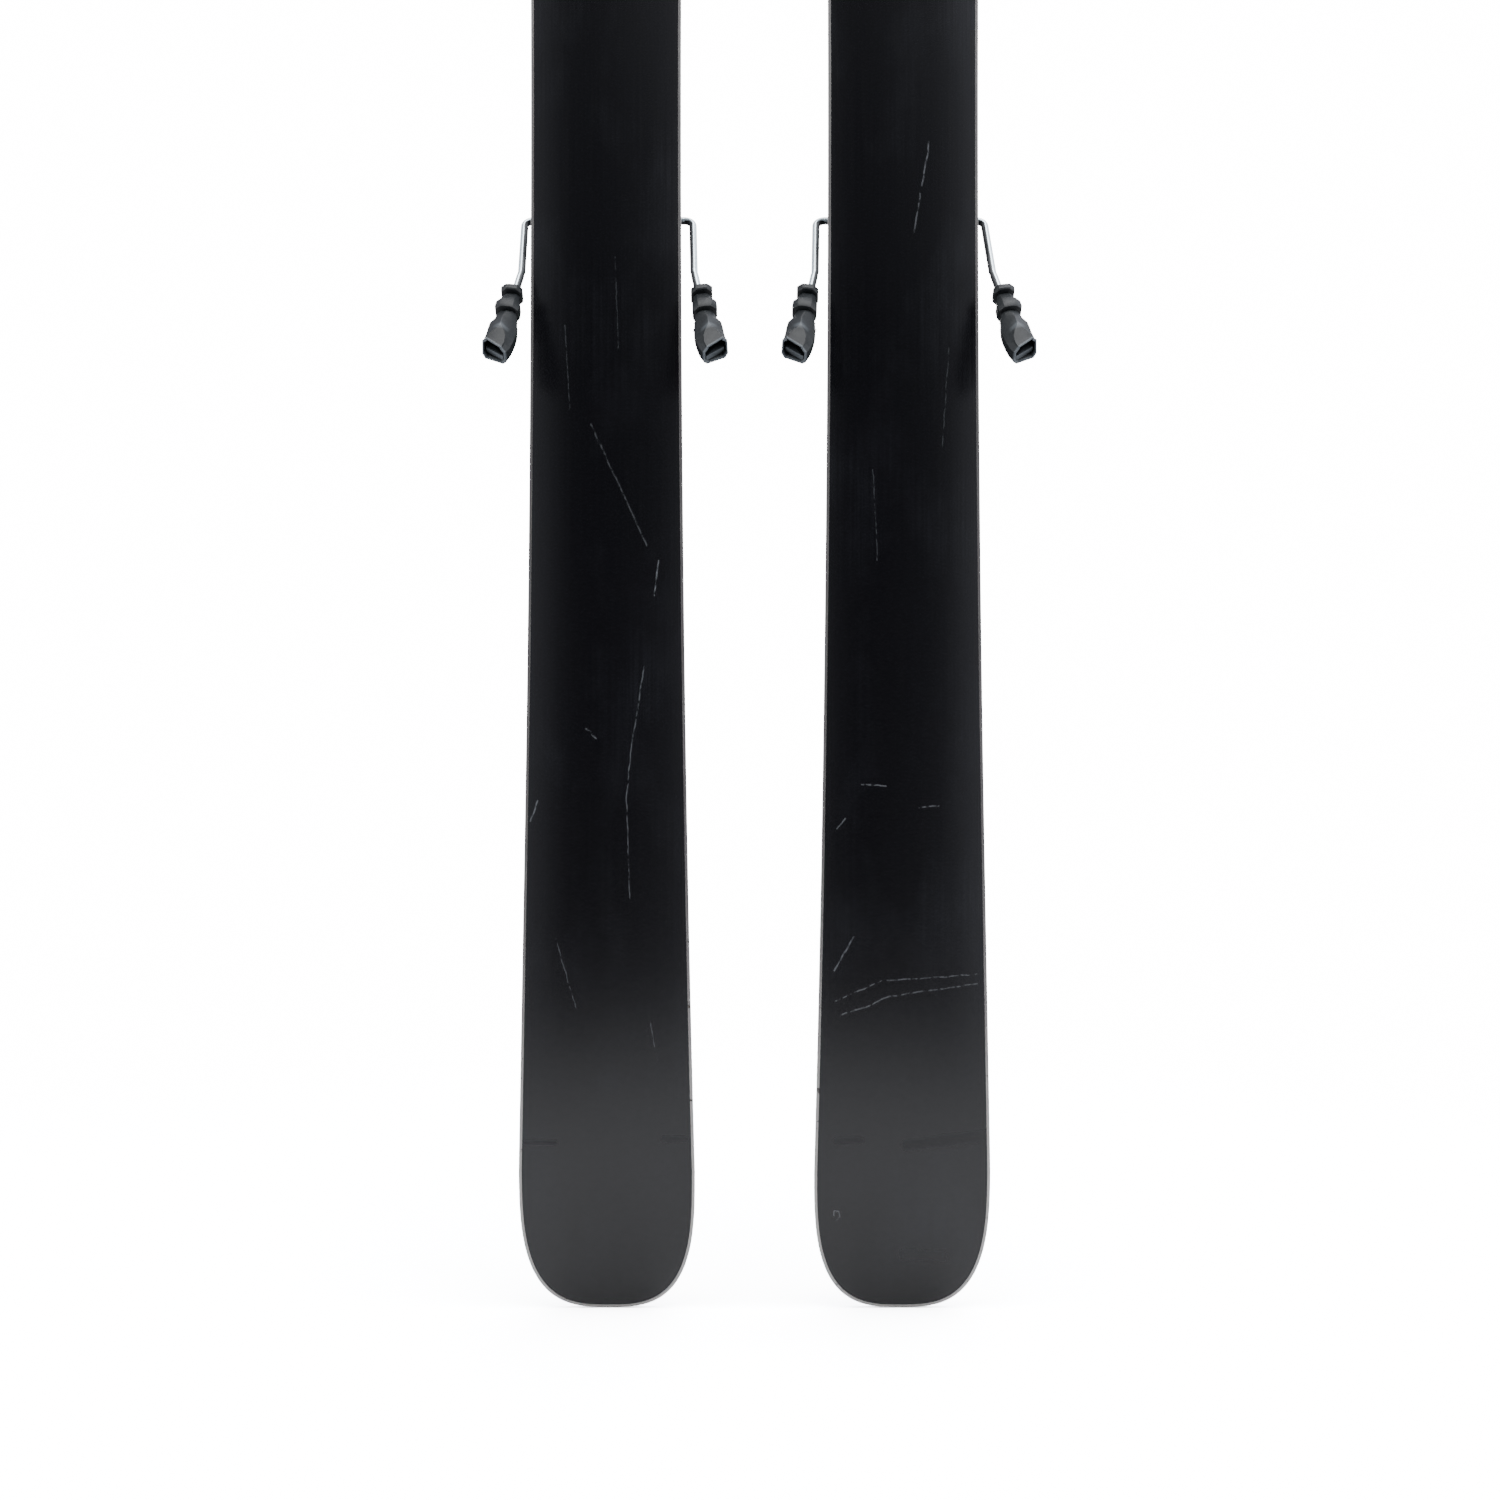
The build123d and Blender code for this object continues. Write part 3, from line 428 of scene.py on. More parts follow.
# scratches on the bases as (x, z) to (x, z), width and depth, in millimetres
SCRATCHES = [
    ((-108, 590), (-71, 510), 0.9, 0.35), ((-63.4, 500), (-66, 477), 0.8, 0.9),
    ((-73, 430), (-82.5, 367), 0.7, 0.5), ((-82.5, 367), (-84.5, 343), 0.7, 0.55),
    ((-84.5, 343), (-82.5, 277), 0.7, 0.45), ((-143.2, 341), (-147.6, 328), 0.9, 0.7),
    ((-111, 389), (-108, 387), 1.0, 0.6), ((-107, 385), (-104.5, 382.5), 0.9, 0.6),
    ((-125, 655), (-122, 600), 0.6, 0.25), ((-92, 700), (-90, 640), 0.6, 0.2),
    ((-131, 250), (-118, 205), 0.7, 0.3), ((-70, 200), (-64, 170), 0.7, 0.3),
    ((115, 776), (110.5, 747), 0.8, 0.6), ((109.8, 743), (105.6, 717), 0.8, 0.5),
    ((70.6, 352), (87, 351), 0.8, 0.6), ((108.3, 337.4), (121.5, 338), 0.8, 0.55),
    ((60, 330), (54.8, 323), 0.8, 0.6), ((65.3, 252), (52.8, 229), 0.9, 0.6),
    ((53.5, 209.3), (83.8, 222.5), 0.8, 0.5), ((83.8, 222.5), (147, 227), 0.8, 0.45),
    ((55.4, 198.8), (90.4, 212.6), 0.8, 0.5), ((90.4, 212.6), (147, 220.5), 0.8, 0.4),
    ((78, 560), (81, 500), 0.6, 0.25), ((128, 640), (124, 575), 0.6, 0.22),
    ((53.4, 68.3), (56.4, 67.8), 0.7, 0.6), ((56.4, 67.8), (56.8, 64.2), 0.7, 0.5),
    ((56.8, 64.2), (54.6, 62.0), 0.7, 0.5), ((53.4, 68.3), (53.0, 65.0), 0.7, 0.6),
]
# faint dirt left across the tails, given in the same way
SMUDGES = [
    ((-152, 115), (-132, 114.6), 2.2, 0.65), ((-60, 117), (-46, 117.4), 3.0, 0.3),
    ((55, 116), (70, 116.4), 3.6, 0.25), ((101, 113), (155, 120), 5.5, 0.32),
    ((101, 38), (126, 37), 6.0, 0.16),
]


def marked(tree, place, marks, share):
    """How strongly straight marks cover the base, from 0 to 1."""
    group = scratch_group()
    covered = None
    for start, end, width, depth in marks:
        inputs = {
            "Place": place, "Start": (start[0], 0, start[1]), "End": (end[0], 0, end[1]),
            "Width": width, "Depth": depth * share,
        }
        if covered:
            inputs["Before"] = covered
        covered = add(tree, "ShaderNodeGroup", inputs, node_tree=group)
    return covered


def base_finish():
    """Sintered black polyethylene, stone ground and waxed: deep black, glossy, faintly lined lengthwise."""
    looks = bpy.context.scene.ski_looks
    tree, surface = material("sintered polyethylene")
    where = add(tree, "ShaderNodeTexCoord").outputs["Object"]
    place = add(tree, "ShaderNodeMapping", {"Vector": where, "Scale": (1000, 0, 1000)})
    # the marks' straight lines wander by a millimetre or so
    noise = add(tree, "ShaderNodeTexNoise", {"Vector": place, "Scale": 0.08, "Detail": 2.0})
    wander = {0: noise.outputs["Color"], 1: (0.5, 0.5, 0.5)}
    centred = add(tree, "ShaderNodeVectorMath", wander, operation="SUBTRACT")
    sway = {0: centred, 1: (2.5, 0, 2.5), 2: place}
    bent = add(tree, "ShaderNodeVectorMath", sway, operation="MULTIPLY_ADD")
    marks = marked(tree, bent, SCRATCHES, looks.wear)
    smudges = marked(tree, bent, SMUDGES, looks.wear)
    broken = grain(tree, 3.0, (1, 1, 1.6), detail=4.0)
    gaps = add(tree, "ShaderNodeMapRange", {"Value": broken, "From Min": 0.38, "From Max": 0.56})
    marks = add(tree, "ShaderNodeMath", {0: marks, 1: gaps}, operation="MULTIPLY")
    # stone-ground structure, drawn a little coarser than the real 0.5 mm so that it shows
    lines = grain(tree, 1.0, (0.8, 120, 120), detail=2.0, roughness=0.6)
    fine = add(tree, "ShaderNodeMapRange", {"Value": lines, "From Min": 0.35, "From Max": 0.7})
    clouds = grain(tree, 55.0, (1, 1, 1.8), detail=4.0, roughness=0.55)
    haze = add(tree, "ShaderNodeMapRange", {"Value": clouds, "From Min": 0.5, "From Max": 0.75})
    dust = grain(tree, 1.4, detail=2.0)
    specks = add(tree, "ShaderNodeMapRange", {"Value": dust, "From Min": 0.7, "From Max": 0.76})
    amount = add(tree, "ShaderNodeMath", {0: fine, 1: haze, 2: 0.0}, operation="MULTIPLY_ADD")
    paled = add(tree, "ShaderNodeMath", {0: specks, 1: 0.8, 2: amount}, operation="MULTIPLY_ADD")
    fresh = tuple(looks.base_colour)
    tint = add(tree, "ShaderNodeMix", {0: paled, 6: fresh, 7: linear("#16171b")}, data_type="RGBA")
    lightened = add(tree, "ShaderNodeMix", {0: marks, 6: tint, 7: linear("#5d5f63")}, data_type="RGBA")
    span = {"Value": fine, "To Min": looks.base_gloss, "To Max": looks.base_gloss + 0.03}
    gloss = add(tree, "ShaderNodeMapRange", span)
    dulled = add(tree, "ShaderNodeMath", {0: haze, 1: 0.03, 2: gloss}, operation="MULTIPLY_ADD")
    dull = add(tree, "ShaderNodeMath", {0: marks, 1: 0.3, 2: dulled}, operation="MULTIPLY_ADD")
    relief = add(tree, "ShaderNodeMath", {0: marks, 1: -2.0, 2: lines}, operation="MULTIPLY_ADD")
    raised = add(tree, "ShaderNodeBump", {"Height": relief, "Strength": 0.045, "Distance": 0.05 * MM})
    # the dirt dulls the reflection and leaves the colour as it is
    film = add(tree, "ShaderNodeMath", {0: smudges, 1: 0.6, 2: dull}, operation="MULTIPLY_ADD")
    drive(tree, surface, Base_Color=lightened, Roughness=film, Normal=raised, IOR=1.5)


def edge_finish():
    """Ground and filed carbon steel: bright, dulled along its length, with small dark nicks."""
    looks = bpy.context.scene.ski_looks
    tree, surface = material("ground steel edge")
    lines = grain(tree, 1.0, (0.5, 60, 60), detail=3.0)
    nick_noise = grain(tree, 5.0, (2, 2, 1), detail=5.0, roughness=0.7)
    nicks = add(tree, "ShaderNodeMapRange", {"Value": nick_noise, "From Min": 0.62, "From Max": 0.68})
    dark = tuple(looks.edge_colour)
    shade = add(tree, "ShaderNodeMix", {0: lines, 6: dark, 7: linear("#b5b3b1")}, data_type="RGBA")
    colour = add(tree, "ShaderNodeMix", {0: nicks, 6: shade, 7: linear("#4a4642")}, data_type="RGBA")
    gloss = add(tree, "ShaderNodeMapRange", {"Value": lines, "To Min": 0.3, "To Max": 0.46})
    raised = add(tree, "ShaderNodeBump", {"Height": nicks, "Strength": 0.3, "Distance": 0.2 * MM})
    drive(tree, surface, Base_Color=colour, Roughness=gloss, Metallic=1.0, Normal=raised)


def wire_finish():
    """Bluish bright zinc on spring steel wire, with painted shade darkening the side turned to the ski."""
    tree, surface = material("zinc-plated wire")
    cloudy = grain(tree, 4.0, detail=4.0)
    gloss = add(tree, "ShaderNodeMapRange", {"Value": cloudy, "To Min": 0.12, "To Max": 0.26})
    # the side turned to the ski is painted dark and less metallic: painted shade and a painted reflection of
    # the black ski
    side = add(tree, "ShaderNodeAttribute", attribute_name="shaded").outputs["Fac"]
    painted_shade = add(tree, "ShaderNodeMapRange", {"Value": side, "From Min": 0.46, "From Max": 0.54})
    clean, painted_shade_colour = linear("#cfdce2"), linear("#1b1e21")
    tone = add(tree, "ShaderNodeMix", {0: painted_shade, 6: clean, 7: painted_shade_colour}, data_type="RGBA")
    bare = add(tree, "ShaderNodeMath", {0: painted_shade, 1: -0.5, 2: 0.75}, operation="MULTIPLY_ADD")
    dull = add(tree, "ShaderNodeMath", {0: painted_shade, 1: 0.25, 2: gloss}, operation="MULTIPLY_ADD")
    drive(tree, surface, Base_Color=tone, Roughness=dull, Metallic=bare)


def foot_finish():
    """Soft dark rubber, uneven in gloss, paler on the mouth's rim and with a painted highlight along the top
    of the ridge.
    """
    tree, surface = material("elastomer brake foot")
    blots = grain(tree, 7.0)
    gloss = add(tree, "ShaderNodeMapRange", {"Value": blots, "To Min": 0.36, "To Max": 0.56})
    # paler on the mouth's rim, with a painted highlight on top of the ridge and on the shelf's front edge
    paled_rim_and_ridge_highlight = add(tree, "ShaderNodeAttribute", attribute_name="lightened").outputs["Fac"]
    fresh = tuple(bpy.context.scene.brake_looks.foot_colour)
    tone = add(tree, "ShaderNodeMix", {0: paled_rim_and_ridge_highlight, 6: fresh, 7: linear("#53585c")}, data_type="RGBA")
    height = grain(tree, 0.9, detail=2.0)
    raised = add(tree, "ShaderNodeBump", {"Height": height, "Strength": 0.35, "Distance": 0.05 * MM})
    drive(tree, surface, Base_Color=tone, Roughness=gloss, Specular_IOR_Level=0.2, Normal=raised)


def topsheet_finish():
    """Satin polyamide film over dyed fibre: near black, with a drift of colour and pale side lines."""
    looks = bpy.context.scene.ski_looks
    tree, surface = material("printed polyamide topsheet")
    drift = grain(tree, 220.0, (1, 1, 2.5), detail=1.0)
    weave = grain(tree, 1.0, (0.7, 14, 14), detail=2.0)
    shade = add(tree, "ShaderNodeMapRange", {"Value": drift, "From Min": 0.35, "From Max": 0.65})
    main, second = tuple(looks.topsheet_colour), tuple(looks.topsheet_drift)
    tint = add(tree, "ShaderNodeMix", {0: shade, 6: main, 7: second}, data_type="RGBA")
    lined = add(tree, "ShaderNodeMix", {0: weave, 6: tint, 7: linear("#22262b")}, data_type="RGBA")
    across = add(tree, "ShaderNodeAttribute", attribute_name="across").outputs["Fac"]
    off = add(tree, "ShaderNodeMath", {0: across}, operation="ABSOLUTE")
    stripe = add(tree, "ShaderNodeMath", {0: off, 1: 0.86, 2: 0.011}, operation="COMPARE")
    print_colour = tuple(looks.stripe_colour)
    printed = add(tree, "ShaderNodeMix", {0: stripe, 6: lined, 7: print_colour}, data_type="RGBA")
    gloss = add(tree, "ShaderNodeMapRange", {"Value": weave, "To Min": 0.28, "To Max": 0.42})
    raised = add(tree, "ShaderNodeBump", {"Height": weave, "Strength": 0.08, "Distance": 0.05 * MM})
    drive(tree, surface, Base_Color=printed, Roughness=gloss, Normal=raised, IOR=1.5)


def core_finish():
    """Poplar and beech strips glued side by side."""
    tree, surface = material("poplar and beech core")
    rings = grain(tree, 3.0, (1, 1, 40), detail=3.0)
    poplar, beech = linear("#c8a878"), linear("#a07c4e")
    shade = add(tree, "ShaderNodeMix", {0: rings, 6: poplar, 7: beech}, data_type="RGBA")
    drive(tree, surface, Base_Color=shade, Roughness=0.6)


def make_finishes():
    """Makes every finish of the pair."""
    looks = bpy.context.scene.binding_looks
    base_finish()
    edge_finish()
    wire_finish()
    foot_finish()
    topsheet_finish()
    core_finish()
    # satin, with the faint ripple of a milled edge
    plain_finish("ABS sidewall", linear("#121316"), 0.42, bump=0.15)
    # matt and slightly green-grey, as seen where the layers end at the sides
    plain_finish("glass fibre laminate", linear("#3a3d3a"), 0.5, bump=0.2)
    # dull, with the fine orange peel of filled nylon
    plain_finish("glass-filled nylon", tuple(looks.plate_colour), 0.48, bump=0.25, bump_size=0.6)
    # smoother and glossier than the plates under it
    plain_finish("glossy nylon cover", tuple(looks.cover_colour), 0.32)
    # a thin satin skin with a metallic glint beneath
    plain_finish("powder-coated alloy", tuple(looks.lever_colour), 0.36, Metallic=0.35)
    # a smooth mid grey with soft highlights
    plain_finish("grey acetal trim", tuple(looks.trim_colour), 0.38)
    # slick, almost polished by boot soles
    plain_finish("low-friction slide film", linear("#6f7276"), 0.22)
    # flat and pale behind its dark marks
    plain_finish("white scale plate", linear("#d9dad6"), 0.4)
    plain_finish("black printed marks", linear("#0b0b0c"), 0.5)
    plain_finish("orange pointer", tuple(looks.pointer_colour), 0.4)
    # bright bluish plating
    plain_finish("zinc-plated steel", linear("#c3c6c9"), 0.28, Metallic=1.0)
    # darker and oily
    plain_finish("oiled spring steel", linear("#77797c"), 0.3, Metallic=1.0)


NODES_BY_FINISH = {
    "sintered polyethylene": "base_sheet",
    "ground steel edge": "steel_edge",
    "ABS sidewall": "sidewall",
    "poplar and beech core": "wood_core",
    "glass fibre laminate": "laminates",
    "printed polyamide topsheet": "topsheet",
    "low-friction slide film": "afd_plate",
    "glossy nylon cover": "toe_housing heel_cup",
    "powder-coated alloy": "toe_wing_left toe_wing_right heel_lever",
    "glass-filled nylon": "toe_baseplate heel_track heel_carriage brake_pedal",
    "grey acetal trim": "toe_setting_screw heel_setting_screw",
    "oiled spring steel": "toe_spring heel_spring forward_spring brake_springs",
    "zinc-plated steel": "toe_pins forward_screw cup_axle lever_pin brake_bracket mounting_screws",
    "zinc-plated wire": "brake_wires",
    "elastomer brake foot": "brake_feet",
}
CAD_FINISHES = {node: finish for finish, nodes in NODES_BY_FINISH.items() for node in nodes.split()}


def paint_frame():
    """Gives every CAD node its finish."""
    for name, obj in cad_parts.items():
        _, kind = name.split("_", 1)
        obj.data.materials.clear()
        obj.data.materials.append(MATERIALS[CAD_FINISHES[kind]])


# ---- the ski's layers ----
SECTIONS = {
    # CAD node: (name, a ring or a plate, corners as (inset, share of thickness, extra height))
    "base_sheet": ("base", False, ((2.05, 0, 1.4), (2.05, 0, 0.05), (2.15, 0, 0.0))),
    "steel_edge": (
        "edge", True,
        ((0.12, 0, 0.0), (0.0, 0, 0.12), (0.0, 0, 2.15), (0.1, 0, 2.25), (1.98, 0, 2.25), (1.98, 0, 0.0)),
    ),
    "sidewall": (
        "sidewall", True,
        (
            (0.35, 0, 2.2), (0.2, 0, 2.35), (0.2, 1, -3.2), (0.4, 1, -2.9), (0.75, 1, -1.35),
            (6.5, 1, -1.35), (6.5, 0, 2.2),
        ),
    ),
    "laminates": ("laminate", False, ((0.8, 1, -1.5), (0.7, 1, -1.35), (0.75, 1, -0.75), (0.95, 1, -0.6))),
    "topsheet": (
        "topsheet", False,
        ((1.2, 1, -0.7), (1.15, 1, -0.55), (1.3, 1, -0.2), (1.7, 1, -0.02), (2.2, 1, 0.0)),
    ),
}


def build_layers():
    """Rebuilds the layers that show, from the bases to the top sheets."""
    for side, centre in CENTRES.items():
        for node, (name, ring, section) in SECTIONS.items():
            mesh = ski_layer(f"{side}_{name}", centre, section, ring)
            piece = finish_piece(mesh, f"{side}_{name}_piece", f"{side}_ski", CAD_FINISHES[node], smooth=30)
            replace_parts(piece, f"{side}_{node}")


# ---- brakes ----
def brake_directions():
    """The arm's and the pedal's directions, for the brake on the +X side."""
    drop, climb = math.radians(BRAKE_DROP), math.radians(PEDAL_RISE)
    arm = Vector((0, -math.sin(drop), -math.cos(drop)))
    pedal = Vector((0, math.sin(climb), math.cos(climb)))
    return arm, pedal


def foot_axis(centre, reach):
    """Start and direction of the foot on the +X side of a ski."""
    arm, _ = brake_directions()
    axis = Vector((centre, *BRAKE_AXIS))
    start = axis + arm * FOOT_FROM + Vector((reach[0], 0, 0))
    end = axis + arm * FOOT_TO + Vector((reach[1], 0, 0))
    return start, (end - start).normalized()


def wire_mesh(centre, reach):
    """One bent wire: from inside the pedal, out along the axis, round the bend and down to the foot."""
    _, pedal = brake_directions()
    axis = Vector((centre, *BRAKE_AXIS))
    start, ahead = foot_axis(centre, reach)
    inner = axis + Vector((PEDAL_WIRE_OUT, 0, 0))
    corners = [
        inner + pedal * PEDAL_WIRE_UP, inner, axis + Vector((ARM_OFFSET, 0, 0)),
        start - ahead * BEND_BEFORE_FOOT, start + ahead * WIRE_IN_FOOT,
    ]
    path = densified(rounded_path(corners, WIRE_BEND, 12), 1.5)
    # a shallow press mark where the arm turns outwards
    mark = start - ahead * PRESS_MARK_AT
    radius = bpy.context.scene.brake_looks.wire_diameter / MM / 2
    dents = [PRESS_MARK_DEPTH * math.exp(-(((p - mark).length / PRESS_MARK_WIDTH) ** 2)) for p in path]
    # the side towards the ski, at -X, gets the painted shade
    return tube("wire", path, [radius - dent for dent in dents], shade_side=Vector((-1, 0, 0)))


# sections of a brake foot: distance along it, inner and outer half widths, back and front
# half depths, chamfer, ridge on the front, half width of the ridge's facet, skew of the ring
FOOT_SECTIONS = [
    (0.0, 4.0, 7.4, 4.8, 5.4, 1.9, 0.0, 1.6, 0),
    (1.7, 5.2, 8.9, 6.2, 6.9, 2.8, 0.3, 1.8, 0),
    (5.8, 5.9, 8.2, 6.5, 7.3, 2.9, 0.3, 1.8, 0),
    (6.9, 5.5, 7.7, 6.0, 6.8, 2.7, 0.2, 1.6, 0),
    (7.1, 4.3, 6.0, 4.3, 4.0, 1.8, 0.0, 1.4, 0),
    (8.6, 4.6, 6.4, 4.6, 4.6, 1.9, 0.2, 1.2, 0),
    (12.5, 4.9, 6.5, 5.0, 5.2, 2.0, 0.4, 1.0, 0),
    (16.3, 6.6, 9.1, 6.4, 7.2, 3.0, 0.5, 1.4, 0),
    (21.8, 7.0, 9.0, 6.8, 7.7, 3.1, 0.5, 1.4, 0),
    (24.4, 6.7, 8.0, 6.2, 7.2, 2.9, 0.4, 1.4, 0),
    (24.7, 5.4, 6.0, 4.6, 4.4, 2.0, 0.2, 0.8, 0),
    (26.7, 6.3, 6.3, 5.0, 4.7, 2.2, 1.2, 0.4, 0),
    (30.5, 7.0, 7.2, 5.6, 4.6, 2.5, 2.4, 0.3, 0),
    (34.5, 8.0, 9.6, 6.2, 4.5, 2.8, 3.2, 0.25, 0),
    (40.0, 9.0, 9.9, 6.8, 4.4, 3.0, 4.0, 0.2, 0),
    (43.0, 9.2, 9.8, 7.0, 4.4, 3.0, 4.3, 0.3, 0),
    (47.0, 9.3, 9.7, 7.0, 4.9, 3.0, 2.9, 2.6, 0.1),
    (52.0, 9.0, 9.7, 7.0, 5.2, 2.9, 1.9, 4.8, 0.35),
    (57.5, 8.2, 9.8, 7.0, 5.2, 2.7, 1.2, 5.6, 0.7),
    (61.5, 7.0, 10.0, 6.8, 5.2, 2.4, 0.8, 5.6, 0.95),
    (63.6, 6.3, 10.4, 6.9, 5.7, 2.2, 0.7, 5.6, 1.0),
]
MOUTH_AT = FOOT_SECTIONS[-1][0]
# the mouth slants: it falls back by this much from the inner edge over its width
MOUTH_INNER, MOUTH_WIDTH, MOUTH_FALL = 5.6, 15.0, 7.6
# and its outer front corner falls back further
CORNER_FALL, CORNER_FRONT = 3.0, 7.0
# rings that turn in at the mouth: distance from the mouth's edge and how much smaller
MOUTH_RINGS = ((0.25, 0.5), (0.1, 1.0), (-2.0, 1.5), (-9.0, 2.6))
SHELF_CORNERS = [(u, v, w) for u in (-4.6, 8.2) for v in (-5.4, -0.9) for w in (-8.0, -1.2)]
SHELF_TILT = 0.06
# places of the mould's flash: distance along the foot and inner half width there
FLASH_SPOTS = ((31.5, 7.3), (37.6, 8.7), (39.0, 8.9))


def foot_frame(ahead):
    """Unit vectors across the foot and out of its front."""
    across = Vector((1, 0, 0))
    across = (across - ahead * across.dot(ahead)).normalized()
    return across, ahead.cross(across).normalized()


def mouth_lag(u, v):
    """How far the slanted mouth falls back, at a place across the foot and out of its front."""
    share = (u + MOUTH_INNER) / MOUTH_WIDTH
    return share * (MOUTH_FALL + CORNER_FALL * v / CORNER_FRONT)


def foot_ring(build, where, ahead, section, shrink=0.0):
    """One ring of the foot: ten corners, two of them bounding the ridge's facet on the front."""
    along, inner, outer, back, front, chamfer, ridge, facet, skew = section
    inner, outer, back, front = inner - shrink, outer - shrink, back - shrink, front - shrink
    across, facing = foot_frame(ahead)
    c, middle = chamfer, (outer - inner) / 2
    corners = [
        (outer, -back + c), (outer, front - c), (outer - c * 1.15, front),
        (middle + facet, front + ridge), (middle - facet, front + ridge),
        (-inner + c * 1.15, front), (-inner, front - c), (-inner, -back + c),
        (-inner + c, -back), (outer - c, -back),
    ]
    ring = []
    for u, v in corners:
        place = where + ahead * (along - skew * mouth_lag(u, v)) + across * u + facing * v
        ring.append(build.verts.new(place))
    return ring


# the paler rim starts this far behind the mouth's edge and the painted highlight this high on the ridge, and
# they fade in over these
RIM_FROM, RIM_FADE = 0.7, 0.5
RIDGE_FROM, RIDGE_FADE = 8.3, 0.4


def mark_pale_rim_and_highlight(mesh, start, ahead):
    """Sets the attribute that pales the foot: 1 on the mouth's paler rim, 0.8 for a painted highlight on top
    of the ridge, and 0 elsewhere.
    """
    across, facing = foot_frame(ahead)
    lightened = mesh.attributes.new("lightened", "FLOAT", "POINT")
    for k, vertex in enumerate(mesh.vertices):
        offset = vertex.co / MM - start
        u, v = offset.dot(across), offset.dot(facing)
        along = offset.dot(ahead) + mouth_lag(u, v)
        rim = min(max((along - MOUTH_AT + RIM_FROM) / RIM_FADE, 0), 1)
        ridge = min(max((v - RIDGE_FROM) / RIDGE_FADE, 0), 1) * 0.8
        lightened.data[k].value = max(rim, ridge)


def foot_shell(start, ahead):
    """The foot's outside and its hollow mouth."""
    build = bmesh.new()
    rings = [foot_ring(build, start, ahead, section) for section in FOOT_SECTIONS]
    mouth = FOOT_SECTIONS[-1][1:]
    for further, shrink in MOUTH_RINGS:
        rings.append(foot_ring(build, start, ahead, (MOUTH_AT + further, *mouth), shrink))
    walled(build, rings)
    build.faces.new(rings[0][::-1])
    build.faces.new(rings[-1])
    bmesh.ops.recalc_face_normals(build, faces=build.faces)
    sharp = [e for e in build.edges if len(e.link_faces) == 2 and e.calc_face_angle(0) > math.radians(24)]
    bmesh.ops.bevel(
        build, geom=sharp, offset=0.25, segments=2, profile=0.6, affect="EDGES", clamp_overlap=True
    )
    shell = mesh_of(build, "foot shell")
    # a paler rim round the mouth and a painted highlight on top of the ridge
    mark_pale_rim_and_highlight(shell, start, ahead)
    return shell


def hull(name, points, bevel=0.0):
    """The smallest solid round some points, with its edges rounded."""
    build = bmesh.new()
    for point in points:
        build.verts.new(point)
    bmesh.ops.convex_hull(build, input=build.verts)
    if bevel:
        bmesh.ops.bevel(build, geom=list(build.edges), offset=bevel, segments=2, affect="EDGES")
    return mesh_of(build, name)


def foot_mesh(centre, reach):
    """One foot: its shell, the shelf in its mouth and the flash that the mould left."""
    start, ahead = foot_axis(centre, reach)
    across, facing = foot_frame(ahead)
    # the shelf fills the back half of the mouth, set back from the rim
    corners = [
        start + ahead * (MOUTH_AT + w - mouth_lag(u, 0)) + across * u + facing * (v + SHELF_TILT * u)
        for u, v, w in SHELF_CORNERS
    ]
    shelf = hull("shelf", corners, 0.4)
    # the shelf's front edge is paled too, as a painted highlight
    mark_pale_rim_and_highlight(shelf, start - ahead * 1.2, ahead)
    parts = [foot_shell(start, ahead), shelf]
    # thin flash along the seam on the ski side
    reaches = (ahead * 0.9, ahead * -0.9, facing * 0.5, facing * -0.5, across * -1.7 + ahead * 0.3)
    for along, inner in FLASH_SPOTS:
        root = start + ahead * along - across * (inner - 0.6) + facing * 0.5
        parts.append(hull("flash", [root + offset for offset in reaches]))
    return joined("foot", parts)


def build_brakes():
    """Rebuilds the brakes' wires and feet and softens their pedals."""
    for side, centre in CENTRES.items():
        body = f"{side}_brake"
        reaches = (ARM_REACH, WORN_ARM_REACH if side == "left" else ARM_REACH)
        for kind, make, finish, smooth in (
            ("wires", wire_mesh, "zinc-plated wire", 60), ("feet", foot_mesh, "elastomer brake foot", 28),
        ):
            outer = mirrored(make(centre, reaches[1]), centre, kind)
            both = joined(f"{side}_{kind}", [make(centre, reaches[0]), outer])
            piece = finish_piece(both, f"{side}_brake_{kind}_piece", body, finish, smooth=smooth)
            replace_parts(piece, f"{side}_brake_{kind}")
        softened(f"{side}_brake_pedal", f"{side}_brake_pedal_piece", body, "glass-filled nylon", 0.6)


# ---- bindings ----
SOFTENED = {
    # CAD node: (body, rounding in millimetres)
    "toe_baseplate": ("ski", 0.6), "toe_housing": ("ski", 1.0), "afd_plate": ("afd", 0.5),
    "toe_wing_left": ("wing_left", 0.6), "toe_wing_right": ("wing_right", 0.6), "heel_track": ("ski", 0.5),
    "heel_carriage": ("carriage", 0.7), "heel_cup": ("cup", 1.5), "heel_lever": ("lever", 0.8),
    "brake_bracket": ("carriage", 0.3), "toe_setting_screw": ("toe_screw", 0.3),
    "heel_setting_screw": ("heel_screw", 0.3),
}


